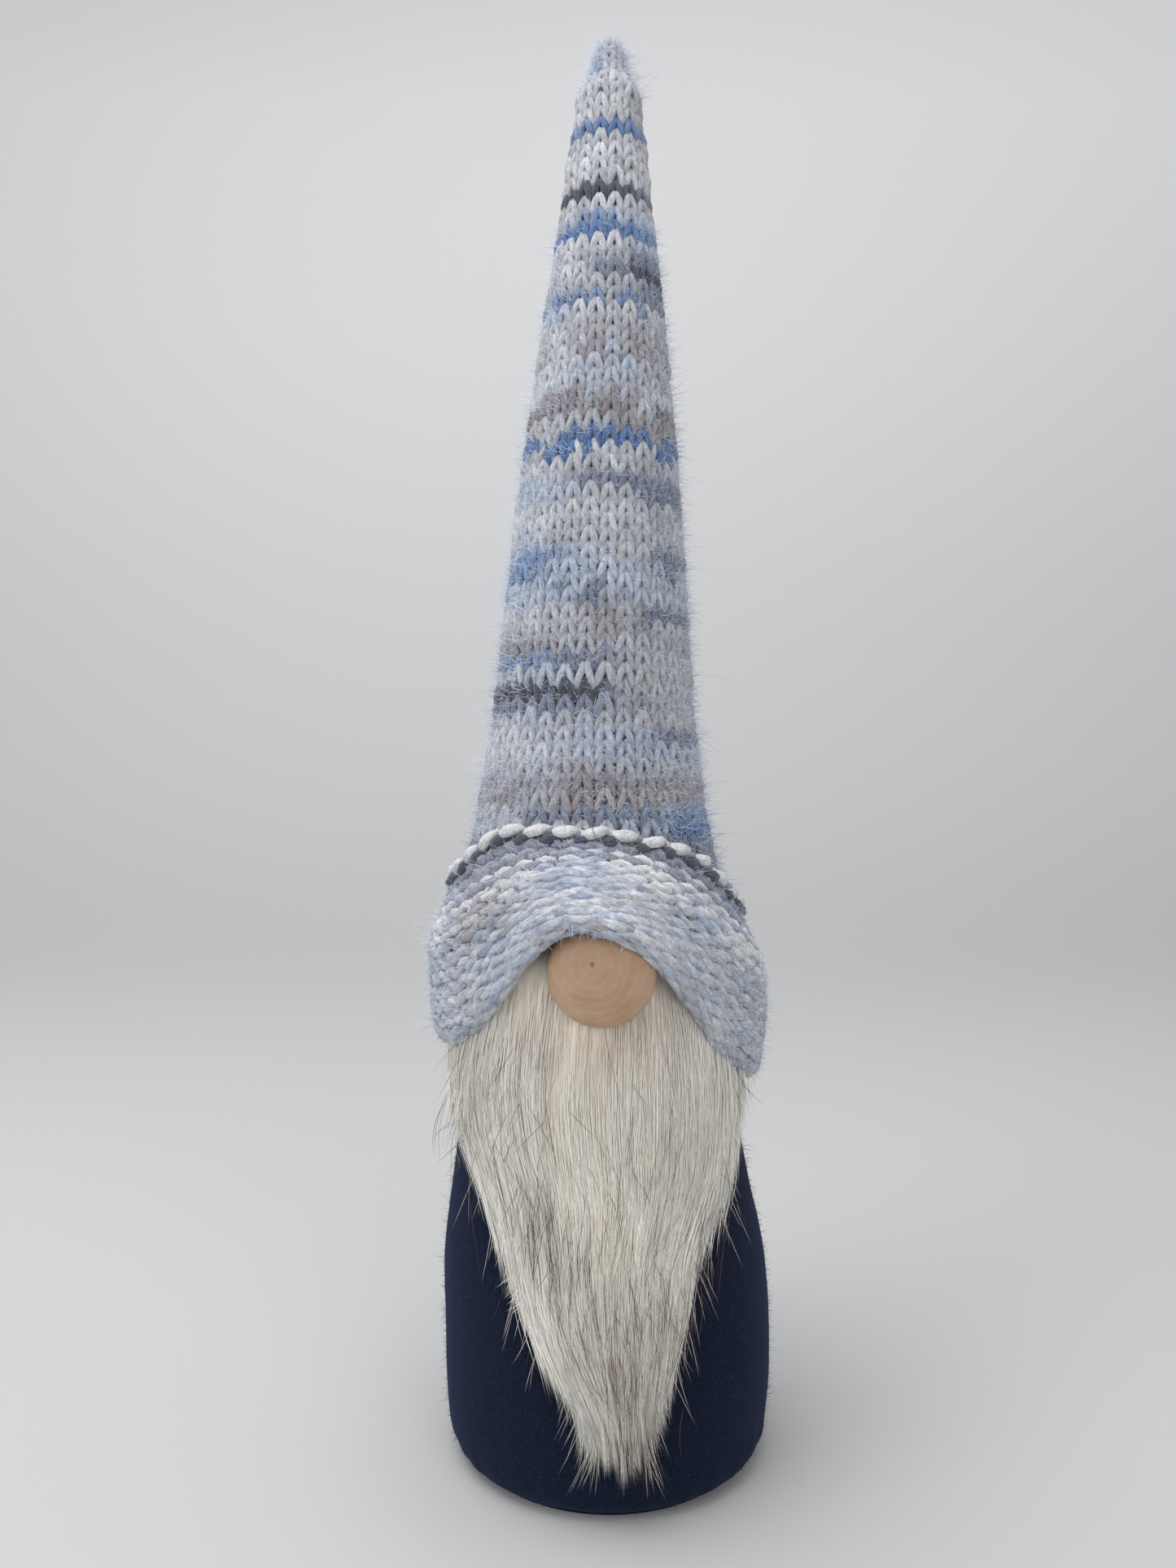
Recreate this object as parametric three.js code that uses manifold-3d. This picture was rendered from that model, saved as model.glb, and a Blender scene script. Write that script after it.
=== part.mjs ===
// A tomte gnome: a weighted, stuffed cloth body with a glued wooden nose and fur beard,
// under a tall stuffed hat knitted in one piece with a turned-up cuff.
// Millimetres, +Z up. The figure stands on z = 0 and faces -Y.
import * as THREE from 'three';
import { mergeVertices } from 'three/addons/utils/BufferGeometryUtils.js';
import Module from 'manifold-3d';

const wasm = await Module();
wasm.setup();

// Fits: the gap left between pieces that touch.
const fit = 0.35;

// Body
const neckHeight = 180; // where the cloth is gathered
const bellyRadius = 47.2;
const headRadius = 38.3; // the stuffed top under the hat
const standRadius = 41.5; // where the cloth meets the table
const neckRadius = 5.5;
const tuftHeight = 9; // gathered cloth above the neck band
const tuftRadius = 9;
const clothThickness = 1.2;
const bandThickness = 1.6;
const boardThickness = 1.6;
const seamThread = 0.6;
const ballastHeight = 27; // fill level of the pellets
const pouchThickness = 0.5;
const pouchNeckRadius = 5;

// Nose, a turned wooden bun with a flat back
const noseRadius = 14;
const noseDepth = 12.5;
const noseBackRadius = 11.6;
const noseDrop = 39; // from the neck down to the nose's centre
const noseShift = 0.9; // to the figure's left of its centre line
const glueRadius = 7.5;
const gluePad = 1;

// Beard, long-pile fur cloth
const beardTopDrop = 30; // from the neck down to its glued top edge
const beardTipHeight = 6;
const beardHalfWidth = 37; // widest, along the body
const hingeDrop = 10; // from the nose's lower side down to the bend
const hingeGap = 1;
const hingeLimit = 60; // degrees
const furBacking = 0.9;
const glueBead = 0.5;
const pileDepth = 9;

// Hat
const knit = 2.6; // one layer of the knitting
const cuffDrop = 73; // from the neck down to the nominal fold
const cuffWidth = 50; // fold to cast-on edge, at the sides
const cuffPuff = 1.5;
const foldHeight = 3.3;
const coneRadius = 38; // at the cuff's top
const coneLength = 251; // cuff's top to tip
const tipHole = 1.9;
const nosePush = 11; // how far the nose pushes the fold out
const noseSpread = 30; // degrees each side
const frontRise = 41; // how far the nose holds the fold up
const edgeRise = 22; // and the cast-on edge
const castOnRadius = 1.4;
const gatherRadius = 0.6;
const stuffingStart = 16; // above the neck

const round = 36; // facets round the hat
const bodyRound = 28;
const innerRound = 24;

const noseHeight = neckHeight - noseDrop;
const cuffLow = neckHeight - cuffDrop;
const cuffHigh = cuffLow + cuffWidth;
const tipHeight = cuffHigh + coneLength;
const hingeHeight = noseHeight - noseRadius - hingeDrop;
const beardTop = neckHeight - beardTopDrop;
const panelRadius = standRadius - clothThickness - fit;
const boardBottom = clothThickness + fit;
const ballastBottom = boardBottom + boardThickness + fit;
const skirtInner = headRadius + 4 * fit + glueBead + furBacking + 0.1;
const skirtOuter = skirtInner + knit;

// Layers that lie on the body's front, as distances out from the cloth
const glueLayer = fit;
const backingLayer = glueLayer + glueBead + fit;
const pileLayer = backingLayer + furBacking + fit;

const radians = THREE.MathUtils.degToRad;
const lerp = THREE.MathUtils.lerp;
const smooth = THREE.MathUtils.smoothstep;

// A smooth curve through stations, each a place followed by its values.
function smoothCurve(stations) {
  const places = stations.map((station) => station[0]);
  const values = stations.flatMap((station) => station.slice(1));
  return new THREE.CubicInterpolant(places, values, stations[0].length - 1);
}

// The figure's centre line: the body leans a little to its right, and the hat leans back.
const centreLine = smoothCurve([
  [-10, 0, 0],
  [0.2 * neckHeight, 0, 0],
  [0.5 * neckHeight, -2.6, 0],
  [0.8 * neckHeight, -3, 0],
  [neckHeight, -4, 1],
  [lerp(neckHeight, tipHeight, 0.35), -2.6, 6],
  [lerp(neckHeight, tipHeight, 0.7), -0.4, 12.5],
  [tipHeight + 10, 1, 20],
]);

const bellyCurve = smoothCurve([
  [0, standRadius],
  [0.022 * neckHeight, standRadius + 3.2],
  [0.066 * neckHeight, bellyRadius - 1],
  [0.17 * neckHeight, bellyRadius],
  [0.29 * neckHeight, bellyRadius - 0.6],
  [0.38 * neckHeight, lerp(headRadius, bellyRadius, 0.7)],
  [0.47 * neckHeight, lerp(headRadius, bellyRadius, 0.37)],
  [0.57 * neckHeight, lerp(headRadius, bellyRadius, 0.1)],
  [0.69 * neckHeight, headRadius],
  [0.74 * neckHeight, headRadius],
]);

const shoulderHeight = 0.69 * neckHeight;

// The cloth's outer radius at a height.
function bodyRadius(height) {
  if (height < shoulderHeight) {
    return bellyCurve.evaluate(height)[0];
  }
  const share = Math.min((height - shoulderHeight) / (neckHeight - shoulderHeight), 1);
  return neckRadius + (headRadius - neckRadius) * Math.sqrt(1 - share ** 2);
}

const coneCurve = smoothCurve([
  [0, coneRadius],
  [0.06 * coneLength, 0.91 * coneRadius],
  [0.2 * coneLength, 0.771 * coneRadius],
  [0.315 * coneLength, 0.705 * coneRadius],
  [0.52 * coneLength, 0.584 * coneRadius],
  [0.67 * coneLength, 0.475 * coneRadius],
  [0.8 * coneLength, 0.37 * coneRadius],
  [0.93 * coneLength, 0.235 * coneRadius],
  [0.98 * coneLength, 0.13 * coneRadius],
  [coneLength, tipHole + 1.2],
]);

// The hat's outer radius at a nominal height, before the nose lifts its front.
function hatRadius(height) {
  if (height > cuffHigh) {
    return coneCurve.evaluate(height - cuffHigh)[0];
  }
  return lerp(skirtOuter, coneRadius, smooth(height, cuffLow + 0.56 * cuffWidth, cuffHigh + 2));
}

// Heights of the fold and of the cast-on edge round the head; the angle is 0 at the front.
function foldLine(angle) {
  const turn = THREE.MathUtils.radToDeg(angle) + 2;
  const spread = turn < 0 ? 35 : 43;
  return cuffLow + 3.5 - 6 * Math.sin(angle) + frontRise * Math.exp(-((turn / spread) ** 2));
}

function edgeLine(angle) {
  const turn = Math.abs(THREE.MathUtils.radToDeg(angle)) / 60;
  return cuffHigh - 2 - 4 * Math.sin(angle) + edgeRise * Math.exp(-(turn ** 3));
}

// Puts a point of the nominal round hat where the nose and the lean bring it.
function placeOnHat(point) {
  const angle = Math.atan2(point.x, -point.y);
  const level = (point.z - cuffLow) / cuffWidth;
  const edge = edgeLine(angle);
  let radius = Math.hypot(point.x, point.y);
  let height = point.z + (edge - cuffHigh) * (1 - smooth(point.z, cuffHigh, cuffHigh + 55));
  if (level <= 1) {
    const bulge = Math.exp(-((angle / radians(noseSpread)) ** 2));
    height = lerp(foldLine(angle), edge, level);
    radius += nosePush * bulge * (1 - level) ** 1.2;
  }
  const [shiftX, shiftY] = centreLine.evaluate(height);
  point.set(shiftX + radius * Math.sin(angle), shiftY - radius * Math.cos(angle), height);
}

// Leans a point of the round body with the centre line.
function placeOnBody(point) {
  const [shiftX, shiftY] = centreLine.evaluate(point.z);
  point.x += shiftX;
  point.y += shiftY;
}

// Moves every corner of a shape by a placing function.
function shaped(geometry, place) {
  const corners = geometry.attributes.position;
  const point = new THREE.Vector3();
  for (let i = 0; i < corners.count; i += 1) {
    point.fromBufferAttribute(corners, i);
    place(point);
    corners.setXYZ(i, point.x, point.y, point.z);
  }
  return closed(geometry);
}

// The shape as one welded skin.
function closed(geometry) {
  geometry.deleteAttribute('normal');
  geometry.deleteAttribute('uv');
  return mergeVertices(geometry, 1e-5);
}

// An outline of [radius, height] turned about +Z.
function turned(outline, sides) {
  const points = outline.map(([radius, height]) => new THREE.Vector2(radius, height));
  return new THREE.LatheGeometry(points, sides).rotateX(Math.PI / 2);
}

// A wall between an outer and an inner line, both listed upwards.
function wall(outer, inner) {
  return [...outer, ...inner.toReversed(), outer[0]];
}

// Heights from low to high, evenly spaced.
function heights(low, high, steps) {
  return Array.from({ length: steps + 1 }, (_, i) => lerp(low, high, i / steps));
}

// A rounded outline of a solid of turning, from the axis at its base to the axis on top.
function filled(radiusAt, low, high, steps) {
  const side = heights(low, high, steps).map((height) => [radiusAt(height), height]);
  return [[0, low], ...side, [0, high]];
}

function solid(geometry) {
  const triVerts = Uint32Array.from(geometry.index.array);
  const vertProperties = Float32Array.from(geometry.attributes.position.array);
  return new wasm.Manifold(new wasm.Mesh({ numProp: 3, vertProperties, triVerts }));
}

function carved(geometry, cutter) {
  const result = solid(geometry).subtract(cutter).getMesh();
  const carvedShape = new THREE.BufferGeometry();
  carvedShape.setAttribute('position', new THREE.BufferAttribute(result.vertProperties, 3));
  carvedShape.setIndex(new THREE.BufferAttribute(result.triVerts, 1));
  return carvedShape;
}

const cloth = new THREE.MeshStandardMaterial({ color: 0x1b2336, roughness: 0.95 });
const feltBoard = new THREE.MeshStandardMaterial({ color: 0x9a8468, roughness: 0.9 });
const thread = new THREE.MeshStandardMaterial({ color: 0x20283c, roughness: 0.8 });
const rubber = new THREE.MeshStandardMaterial({ color: 0xb9a37a, roughness: 0.7 });
const calico = new THREE.MeshStandardMaterial({ color: 0xd8d2c4, roughness: 0.9 });
const pellets = new THREE.MeshStandardMaterial({ color: 0xe2e2de, roughness: 0.5 });
const fibre = new THREE.MeshStandardMaterial({ color: 0xf1f1ee, roughness: 1 });
const birch = new THREE.MeshStandardMaterial({ color: 0xcfa982, roughness: 0.55 });
const glue = new THREE.MeshStandardMaterial({ color: 0xe9e2cf, roughness: 0.35 });
const furCloth = new THREE.MeshStandardMaterial({ color: 0xd9d4ca, roughness: 0.95 });
const fur = new THREE.MeshStandardMaterial({ color: 0xe4dfd6, roughness: 0.85 });
const wool = new THREE.MeshStandardMaterial({ color: 0xaebcd2, roughness: 0.95 });
const whiteWool = new THREE.MeshStandardMaterial({ color: 0xe6e6e8, roughness: 0.95 });
const darkWool = new THREE.MeshStandardMaterial({ color: 0x4a4a52, roughness: 0.95 });

const gnome = new THREE.Group();

function add(name, geometry, material) {
  const mesh = new THREE.Mesh(geometry, material);
  mesh.name = name;
  gnome.add(mesh);
}

// The sewn cloth tube, gathered at the neck and open at both ends.
function bodySleeve() {
  const side = heights(0, 1, 17).map((share) => {
    const height = neckHeight * (1 - (1 - share) ** 1.35);
    return [bodyRadius(height), height];
  });
  const outer = [
    ...side,
    [neckRadius - 0.2, neckHeight + 2],
    [lerp(neckRadius, tuftRadius, 0.6), neckHeight + 5],
    [tuftRadius, neckHeight + tuftHeight],
  ];
  const inner = outer.map(([radius, height], i) => {
    const before = outer[Math.max(i - 1, 0)];
    const after = outer[Math.min(i + 1, outer.length - 1)];
    const run = new THREE.Vector2(after[0] - before[0], after[1] - before[1]).normalize();
    return [Math.max(radius - clothThickness * run.y, 1.5), height + clothThickness * run.x];
  });
  inner[0][1] = 0;
  inner[inner.length - 1][1] = neckHeight + tuftHeight;
  return shaped(turned(wall(outer, inner), bodyRound), placeOnBody);
}

function basePanel() {
  const outline = [[0, 0], [panelRadius, 0], [panelRadius, clothThickness], [0, clothThickness]];
  return shaped(turned(outline, bodyRound), placeOnBody);
}

function baseBoard() {
  const radius = panelRadius - 2 * seamThread - fit;
  const top = boardBottom + boardThickness;
  const outline = [[0, boardBottom], [radius, boardBottom], [radius, top], [0, top]];
  return shaped(turned(outline, bodyRound), placeOnBody);
}

// The hand stitching that joins the panel's edge to the sleeve, inside.
function baseSeam() {
  const ring = new THREE.TorusGeometry(panelRadius - seamThread, seamThread / 2, 6, bodyRound);
  ring.translate(0, 0, clothThickness + fit + seamThread / 2);
  return shaped(ring, placeOnBody);
}

// A rubber band wound round the gathered cloth.
function neckBand() {
  const ringRadius = neckRadius + fit + bandThickness / 2;
  const ring = new THREE.TorusGeometry(ringRadius, bandThickness / 2, 8, innerRound);
  ring.translate(0, 0, neckHeight + 1.6);
  return shaped(ring, placeOnBody);
}

const pouchTop = ballastBottom + pouchThickness + ballastHeight;

function pouchRadius(height) {
  const room = bodyRadius(height) - clothThickness - fit - 2.2;
  const share = (height - ballastBottom) / (pouchTop - ballastBottom);
  return Math.min(room, panelRadius - 1) * Math.sqrt(1 - Math.max(share - 0.35, 0) ** 2 * 1.9);
}

// The calico bag that holds the pellets, open in its tied neck.
function ballastPouch() {
  const side = heights(ballastBottom, pouchTop, 8).map((height) => [pouchRadius(height), height]);
  const outer = [[0, ballastBottom], ...side];
  outer.push([pouchNeckRadius + 6, pouchTop + 4.5]);
  outer.push([pouchNeckRadius, pouchTop + 6.5]);
  outer.push([pouchNeckRadius + 3, pouchTop + 12]);
  const inner = side.map(([radius, height]) => [radius - pouchThickness, height]);
  inner[0][1] = ballastBottom + pouchThickness;
  inner.unshift([0, ballastBottom + pouchThickness]);
  inner.push([pouchNeckRadius + 5, pouchTop + 4.2]);
  inner.push([pouchNeckRadius - pouchThickness, pouchTop + 6.5]);
  inner.push([pouchNeckRadius + 3 - pouchThickness, pouchTop + 12]);
  return shaped(turned([...outer, ...inner.toReversed()], innerRound), placeOnBody);
}

function ballastPellets() {
  const skin = pouchThickness + fit;
  const outline = filled(
    (height) => pouchRadius(height) - skin - 0.3,
    ballastBottom + skin,
    pouchTop - fit,
    7,
  );
  return shaped(turned(outline, innerRound), placeOnBody);
}

function ballastTie() {
  const ring = new THREE.TorusGeometry(pouchNeckRadius + fit + 0.8, 0.6, 6, 20);
  ring.translate(0, 0, pouchTop + 6.8);
  return shaped(ring, placeOnBody);
}

function bodyStuffing() {
  const bottom = pouchTop + 14;
  const outline = filled(
    (height) => bodyRadius(height) - clothThickness - 2.5 * fit,
    bottom,
    neckHeight - 14,
    13,
  );
  return shaped(turned(outline, innerRound), placeOnBody);
}

// The nose's flat back stands off the body by the beard's backing and its own glue, which
// reaches lowest, and so furthest out, at the pad's lower side.
const noseBack = -(bodyRadius(noseHeight - glueRadius) + pileLayer + gluePad + fit);

function noseOutline(clearance) {
  const radius = noseRadius + clearance;
  const rim = 0.36 * noseDepth;
  const outline = [[0, -clearance], [noseBackRadius + clearance, -clearance]];
  for (const turn of [-60, -25, 0, 15, 32, 48, 62, 75]) {
    const depth = turn < 0 ? rim : noseDepth - rim;
    const along = rim + (depth + clearance) * Math.sin(radians(turn));
    outline.push([lerp(noseBackRadius + clearance, radius, Math.cos(radians(turn)) ** 0.8), along]);
    if (turn > 0) {
      outline.at(-1)[0] = radius * Math.cos(radians(turn)) ** 0.75;
    }
  }
  outline.push([0, noseDepth + clearance]);
  return outline;
}

// Turns a shape made along +Z to point forward, and sets it at the nose.
function atNose(geometry, back) {
  const [shiftX, shiftY] = centreLine.evaluate(noseHeight);
  geometry.rotateX(Math.PI / 2);
  geometry.translate(shiftX + noseShift, shiftY + back, noseHeight);
  return closed(geometry);
}

function noseBall() {
  return atNose(turned(noseOutline(0), bodyRound), noseBack);
}

function noseGlue() {
  const pad = [[0, 0], [glueRadius, 0], [glueRadius - 1, gluePad], [0, gluePad]];
  return atNose(turned(pad, innerRound), noseBack + fit + gluePad);
}

// The room the nose and its glue need in the fur behind it.
function noseRoom() {
  const outline = noseOutline(fit);
  outline[0][1] = -(gluePad + 3);
  outline[1][1] = outline[0][1];
  return atNose(turned(outline, bodyRound), noseBack);
}

// The room the nose needs in the hat, drawn down as far as the fold so that the hat lifts off.
function noseSweep() {
  const [shiftX, shiftY] = centreLine.evaluate(noseHeight);
  const half = noseRadius + fit;
  const slot = new THREE.BoxGeometry(2 * half, noseDepth + 2 * fit, 2 * half);
  slot.translate(shiftX + noseShift, shiftY + noseBack - noseDepth / 2, noseHeight - half);
  return solid(closed(slot)).add(solid(noseRoom()));
}

// A patch that follows the body's front. Its box runs across (-1 to 1), up (0 to 1) and out
// from the cloth (0 to 1); the placing function says what each means in angle, height and depth.
function patch(across, up, place) {
  const box = new THREE.BoxGeometry(2, 1, 1, across, 1, up);
  box.translate(0, -0.5, 0.5);
  return shaped(box, (point) => {
    const [angle, height, out] = place(point.x, point.z, -point.y);
    const radius = bodyRadius(height) + out;
    point.set(radius * Math.sin(angle), -radius * Math.cos(angle), height);
    placeOnBody(point);
  });
}

function spread(width) {
  return width / (headRadius + pileLayer);
}

function beardGlue() {
  const half = spread(beardHalfWidth - 5);
  return patch(12, 2, (side, rise, out) => [
    side * half,
    lerp(beardTop - 12, beardTop - 4, rise),
    lerp(glueLayer, glueLayer + glueBead, out),
  ]);
}

// The glued top of the fur's backing cloth, mostly under the hat.
function beardBackingTop() {
  const half = spread(beardHalfWidth);
  return patch(14, 7, (side, rise, out) => [
    side * half,
    lerp(hingeHeight + hingeGap / 2, beardTop, rise),
    lerp(backingLayer, backingLayer + furBacking, out),
  ]);
}

const hingeRadius = bodyRadius(hingeHeight) + backingLayer + furBacking / 2;

// How far fur must be cut back from the bend, so that the beard can lift.
function bevel(angle, out) {
  const reach = (bodyRadius(hingeHeight) + out) * Math.cos(angle) - hingeRadius;
  return hingeGap / 2 + Math.max(reach, 0) * Math.tan(radians(hingeLimit / 2 + 2));
}

// How far round the face, to one side, the hat's fold stays well above the bend.
function openAngle(side) {
  let angle = 0;
  while (angle < 1 && foldLine(side * angle) > hingeHeight + 4) {
    angle += 0.01;
  }
  return angle;
}

// The fur above the bend, up to the hat's fold.
function beardPileTop() {
  const left = Math.min(spread(0.8 * beardHalfWidth), openAngle(-1));
  const right = Math.min(spread(0.8 * beardHalfWidth), openAngle(1));
  const pile = patch(14, 5, (side, rise, out) => {
    const angle = side * (side < 0 ? left : right);
    const depth = pileLayer + out * lerp(0.75, 0.4, rise) * pileDepth * (1 - 0.6 * side ** 2);
    const low = hingeHeight + bevel(angle, depth);
    return [angle, lerp(low, foldLine(angle) - 1.5, rise), depth];
  });
  return carved(pile, solid(noseRoom()));
}

// The hanging beard's sides: distance up from its tip, then its left and right edges,
// all as shares.
const beardEdges = smoothCurve([
  [0, 0.26, 0.4],
  [0.08, 0, 0.4],
  [0.18, -0.28, 0.42],
  [0.27, -0.35, 0.46],
  [0.36, -0.54, 0.52],
  [0.45, -0.62, 0.59],
  [0.6, -0.78, 0.75],
  [0.71, -0.93, 0.88],
  [0.82, -1, 0.95],
  [0.9, -0.98, 0.93],
  [1, -0.85, 0.82],
]);

function beardAngle(side, share, inset) {
  const [left, right] = beardEdges.evaluate(share);
  const reach = lerp(left, right, (side + 1) / 2) * (beardHalfWidth - inset);
  return reach / (headRadius + pileLayer);
}

function beardFlapTop(angle, out) {
  return Math.min(hingeHeight - bevel(angle, out), foldLine(angle) - 1.5);
}

function beardBackingFlap() {
  const low = lerp(beardTipHeight, hingeHeight, 0.42);
  return patch(12, 12, (side, rise, out) => {
    const angle = beardAngle(side, lerp(0.42, 1, rise), 3);
    const depth = lerp(backingLayer, backingLayer + furBacking, out);
    return [angle, lerp(low, beardFlapTop(angle, depth), rise), depth];
  });
}

function beardPileFlap() {
  return patch(14, 18, (side, rise, out) => {
    const angle = beardAngle(side, rise, 0);
    const crown = (1 - 0.6 * side ** 2) * Math.min(0.35 + 1.1 * rise, 1);
    const depth = pileLayer + out * pileDepth * crown;
    return [angle, lerp(beardTipHeight, beardFlapTop(angle, depth), rise), depth];
  });
}

// Nominal heights at which the hat's wall is drawn.
const skirtHeights = heights(cuffLow + foldHeight + fit, cuffHigh, 7);
const coneHeights = heights(cuffHigh, tipHeight, 13).slice(1);

// The inner layer of the cuff and the cone above it, knitted in one piece.
function hatCone() {
  const outer = [...skirtHeights, ...coneHeights].map((height) => [hatRadius(height), height]);
  const inner = outer.map(([radius, height]) => [Math.max(radius - knit, tipHole), height]);
  const cone = shaped(turned(wall(outer, inner), round), placeOnHat);
  return carved(cone, noseSweep());
}

// The inner radius of the turned-up layer, which puffs out over the layer below it.
function cuffInner(height) {
  const level = (height - cuffLow) / cuffWidth;
  return hatRadius(height) + fit + cuffPuff * Math.sin(Math.PI * level ** 0.8) + 0.3 * level;
}

// The same knitting turned up on itself, from the fold to the cast-on edge.
function hatCuff() {
  const levels = heights(cuffLow + foldHeight, cuffHigh, 7);
  const line = levels.map((height) => [cuffInner(height), height]);
  const outer = line.map(([radius, height]) => [radius + knit, height]);
  const fold = [
    [skirtInner, cuffLow + foldHeight],
    [skirtInner + 0.4, cuffLow + 0.9],
    [skirtInner + 1.8, cuffLow],
    [skirtOuter + 0.9, cuffLow + 0.1],
    [skirtOuter + knit - 0.4, cuffLow + 1.4],
  ];
  const cuff = shaped(turned([...fold, ...outer, ...line.toReversed(), fold[0]], round), placeOnHat);
  return carved(cuff, noseSweep());
}

// One strand of the cast-on edge, following the cuff's top. The radius is given for a height.
function castOnStrand(rise, radiusAt) {
  const strand = new THREE.TorusGeometry(coneRadius, castOnRadius, 6, round);
  return shaped(strand, (point) => {
    const angle = Math.atan2(point.x, -point.y);
    const edge = edgeLine(angle);
    const shrink = cuffWidth / (edge - foldLine(angle));
    const centre = radiusAt(cuffHigh + (rise - castOnRadius) * shrink);
    const radius = centre + Math.hypot(point.x, point.y) - coneRadius;
    const height = edge + rise + point.z;
    const [shiftX, shiftY] = centreLine.evaluate(height);
    point.set(shiftX + radius * Math.sin(angle), shiftY - radius * Math.cos(angle), height);
  });
}

// The light strand lies on the edge.
function castOnWhite() {
  return castOnStrand(castOnRadius + fit, () => cuffInner(cuffHigh) + knit / 2);
}

// The dark strand lies in front of it, a little lower.
function castOnDark() {
  const proud = knit + fit + castOnRadius + 0.5;
  return castOnStrand(-1.8 * castOnRadius, (height) => cuffInner(height) + proud);
}

// The yarn end drawn through the last stitches to close the tip.
function tipGather() {
  const ring = new THREE.TorusGeometry(tipHole - fit - gatherRadius, gatherRadius, 6, 16);
  ring.translate(0, 0, tipHeight - 1);
  return shaped(ring, placeOnHat);
}

function hatStuffing() {
  const outline = filled(
    (height) => hatRadius(height) - knit - 3 * fit,
    neckHeight + stuffingStart,
    lerp(cuffHigh, tipHeight, 0.94),
    11,
  );
  return shaped(turned(outline, innerRound), placeOnHat);
}

add('body_sleeve', bodySleeve(), cloth);
add('base_panel', basePanel(), cloth);
add('base_seam', baseSeam(), thread);
add('base_board', baseBoard(), feltBoard);
add('ballast_pouch', ballastPouch(), calico);
add('ballast_pellets', ballastPellets(), pellets);
add('ballast_tie', ballastTie(), thread);
add('body_stuffing', bodyStuffing(), fibre);
add('neck_band', neckBand(), rubber);
add('nose_ball', noseBall(), birch);
add('nose_glue', noseGlue(), glue);
add('beard_glue', beardGlue(), glue);
add('beard_backing_top', beardBackingTop(), furCloth);
add('beard_pile_top', beardPileTop(), fur);
add('beard_backing_flap', beardBackingFlap(), furCloth);
add('beard_pile_flap', beardPileFlap(), fur);
add('hat_cone', hatCone(), wool);
add('hat_cuff', hatCuff(), wool);
add('cast_on_white', castOnWhite(), whiteWool);
add('cast_on_dark', castOnDark(), darkWool);
add('tip_gather', tipGather(), wool);
add('hat_stuffing', hatStuffing(), fibre);

export default gnome;
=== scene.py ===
"""A tomte gnome figurine: stuffed navy body, turned nose, fur beard and tall knitted hat."""
import math
import random

import bmesh
import bpy
import numpy as np
from mathutils.bvhtree import BVHTree
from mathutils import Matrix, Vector, noise


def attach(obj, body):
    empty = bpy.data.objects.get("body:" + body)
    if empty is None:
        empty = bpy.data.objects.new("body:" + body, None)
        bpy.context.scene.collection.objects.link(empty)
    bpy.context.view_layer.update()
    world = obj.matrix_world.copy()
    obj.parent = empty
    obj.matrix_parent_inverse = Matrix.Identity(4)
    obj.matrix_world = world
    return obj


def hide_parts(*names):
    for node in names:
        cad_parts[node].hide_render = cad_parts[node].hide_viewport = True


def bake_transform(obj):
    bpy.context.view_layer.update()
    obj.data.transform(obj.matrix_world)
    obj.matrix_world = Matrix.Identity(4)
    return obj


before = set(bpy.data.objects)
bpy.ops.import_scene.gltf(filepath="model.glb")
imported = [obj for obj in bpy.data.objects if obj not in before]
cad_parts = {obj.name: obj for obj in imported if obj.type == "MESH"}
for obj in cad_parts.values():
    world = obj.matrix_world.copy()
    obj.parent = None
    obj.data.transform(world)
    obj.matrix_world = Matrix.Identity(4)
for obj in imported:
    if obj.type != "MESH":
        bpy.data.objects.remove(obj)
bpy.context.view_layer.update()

MM = 0.001
rng = np.random.default_rng(7)

# Driving sizes of the figure, in millimetres
NECK, TIP, TOP = 180.0, 408.0, 417.0
BELLY, HEAD, STAND, NECK_RADIUS = 47.2, 38.3, 41.5, 5.5
CLOTH = 1.2
NOSE_RADIUS, NOSE_DEPTH, NOSE_HEIGHT, NOSE_SHIFT = 14.0, 12.5, 141.0, 0.9
CUFF_LOW, CUFF_HIGH = 107.0, 157.0
CUFF_WIDTH = CUFF_HIGH - CUFF_LOW
CONE_RADIUS, CONE_LENGTH = 38.0, 251.0
SKIRT_INNER, KNIT = 41.2, 2.6
SKIRT_OUTER = SKIRT_INNER + KNIT
NOSE_PUSH, NOSE_SPREAD, FRONT_RISE, EDGE_RISE = 11.0, 30.0, 41.0, 22.0


# ---------- shape of the figure ----------

def through(*stations):
    """A smooth curve through stations, each a place followed by its values."""
    table = np.array(stations, float)
    places, values = table[:, 0], table[:, 1:]
    slopes = np.gradient(values, places, axis=0)

    def at(place):
        place = np.clip(np.asarray(place, float), places[0], places[-1])
        i = np.clip(np.searchsorted(places, place, side="right") - 1, 0, len(places) - 2)
        run = places[i + 1] - places[i]
        t = ((place - places[i]) / run)[..., None]
        run = run[..., None]
        a, b, p, q = values[i], values[i + 1], slopes[i], slopes[i + 1]
        out = ((1 + 2 * t) * a + t * run * p) * (1 - t) ** 2
        out = out + ((3 - 2 * t) * b + (t - 1) * run * q) * t ** 2
        return out[..., 0] if values.shape[1] == 1 else out

    return at


def lerp(a, b, t):
    return a + (b - a) * t


def smooth(x, low, high):
    t = np.clip((x - low) / (high - low), 0, 1)
    return t * t * (3 - 2 * t)


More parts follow.
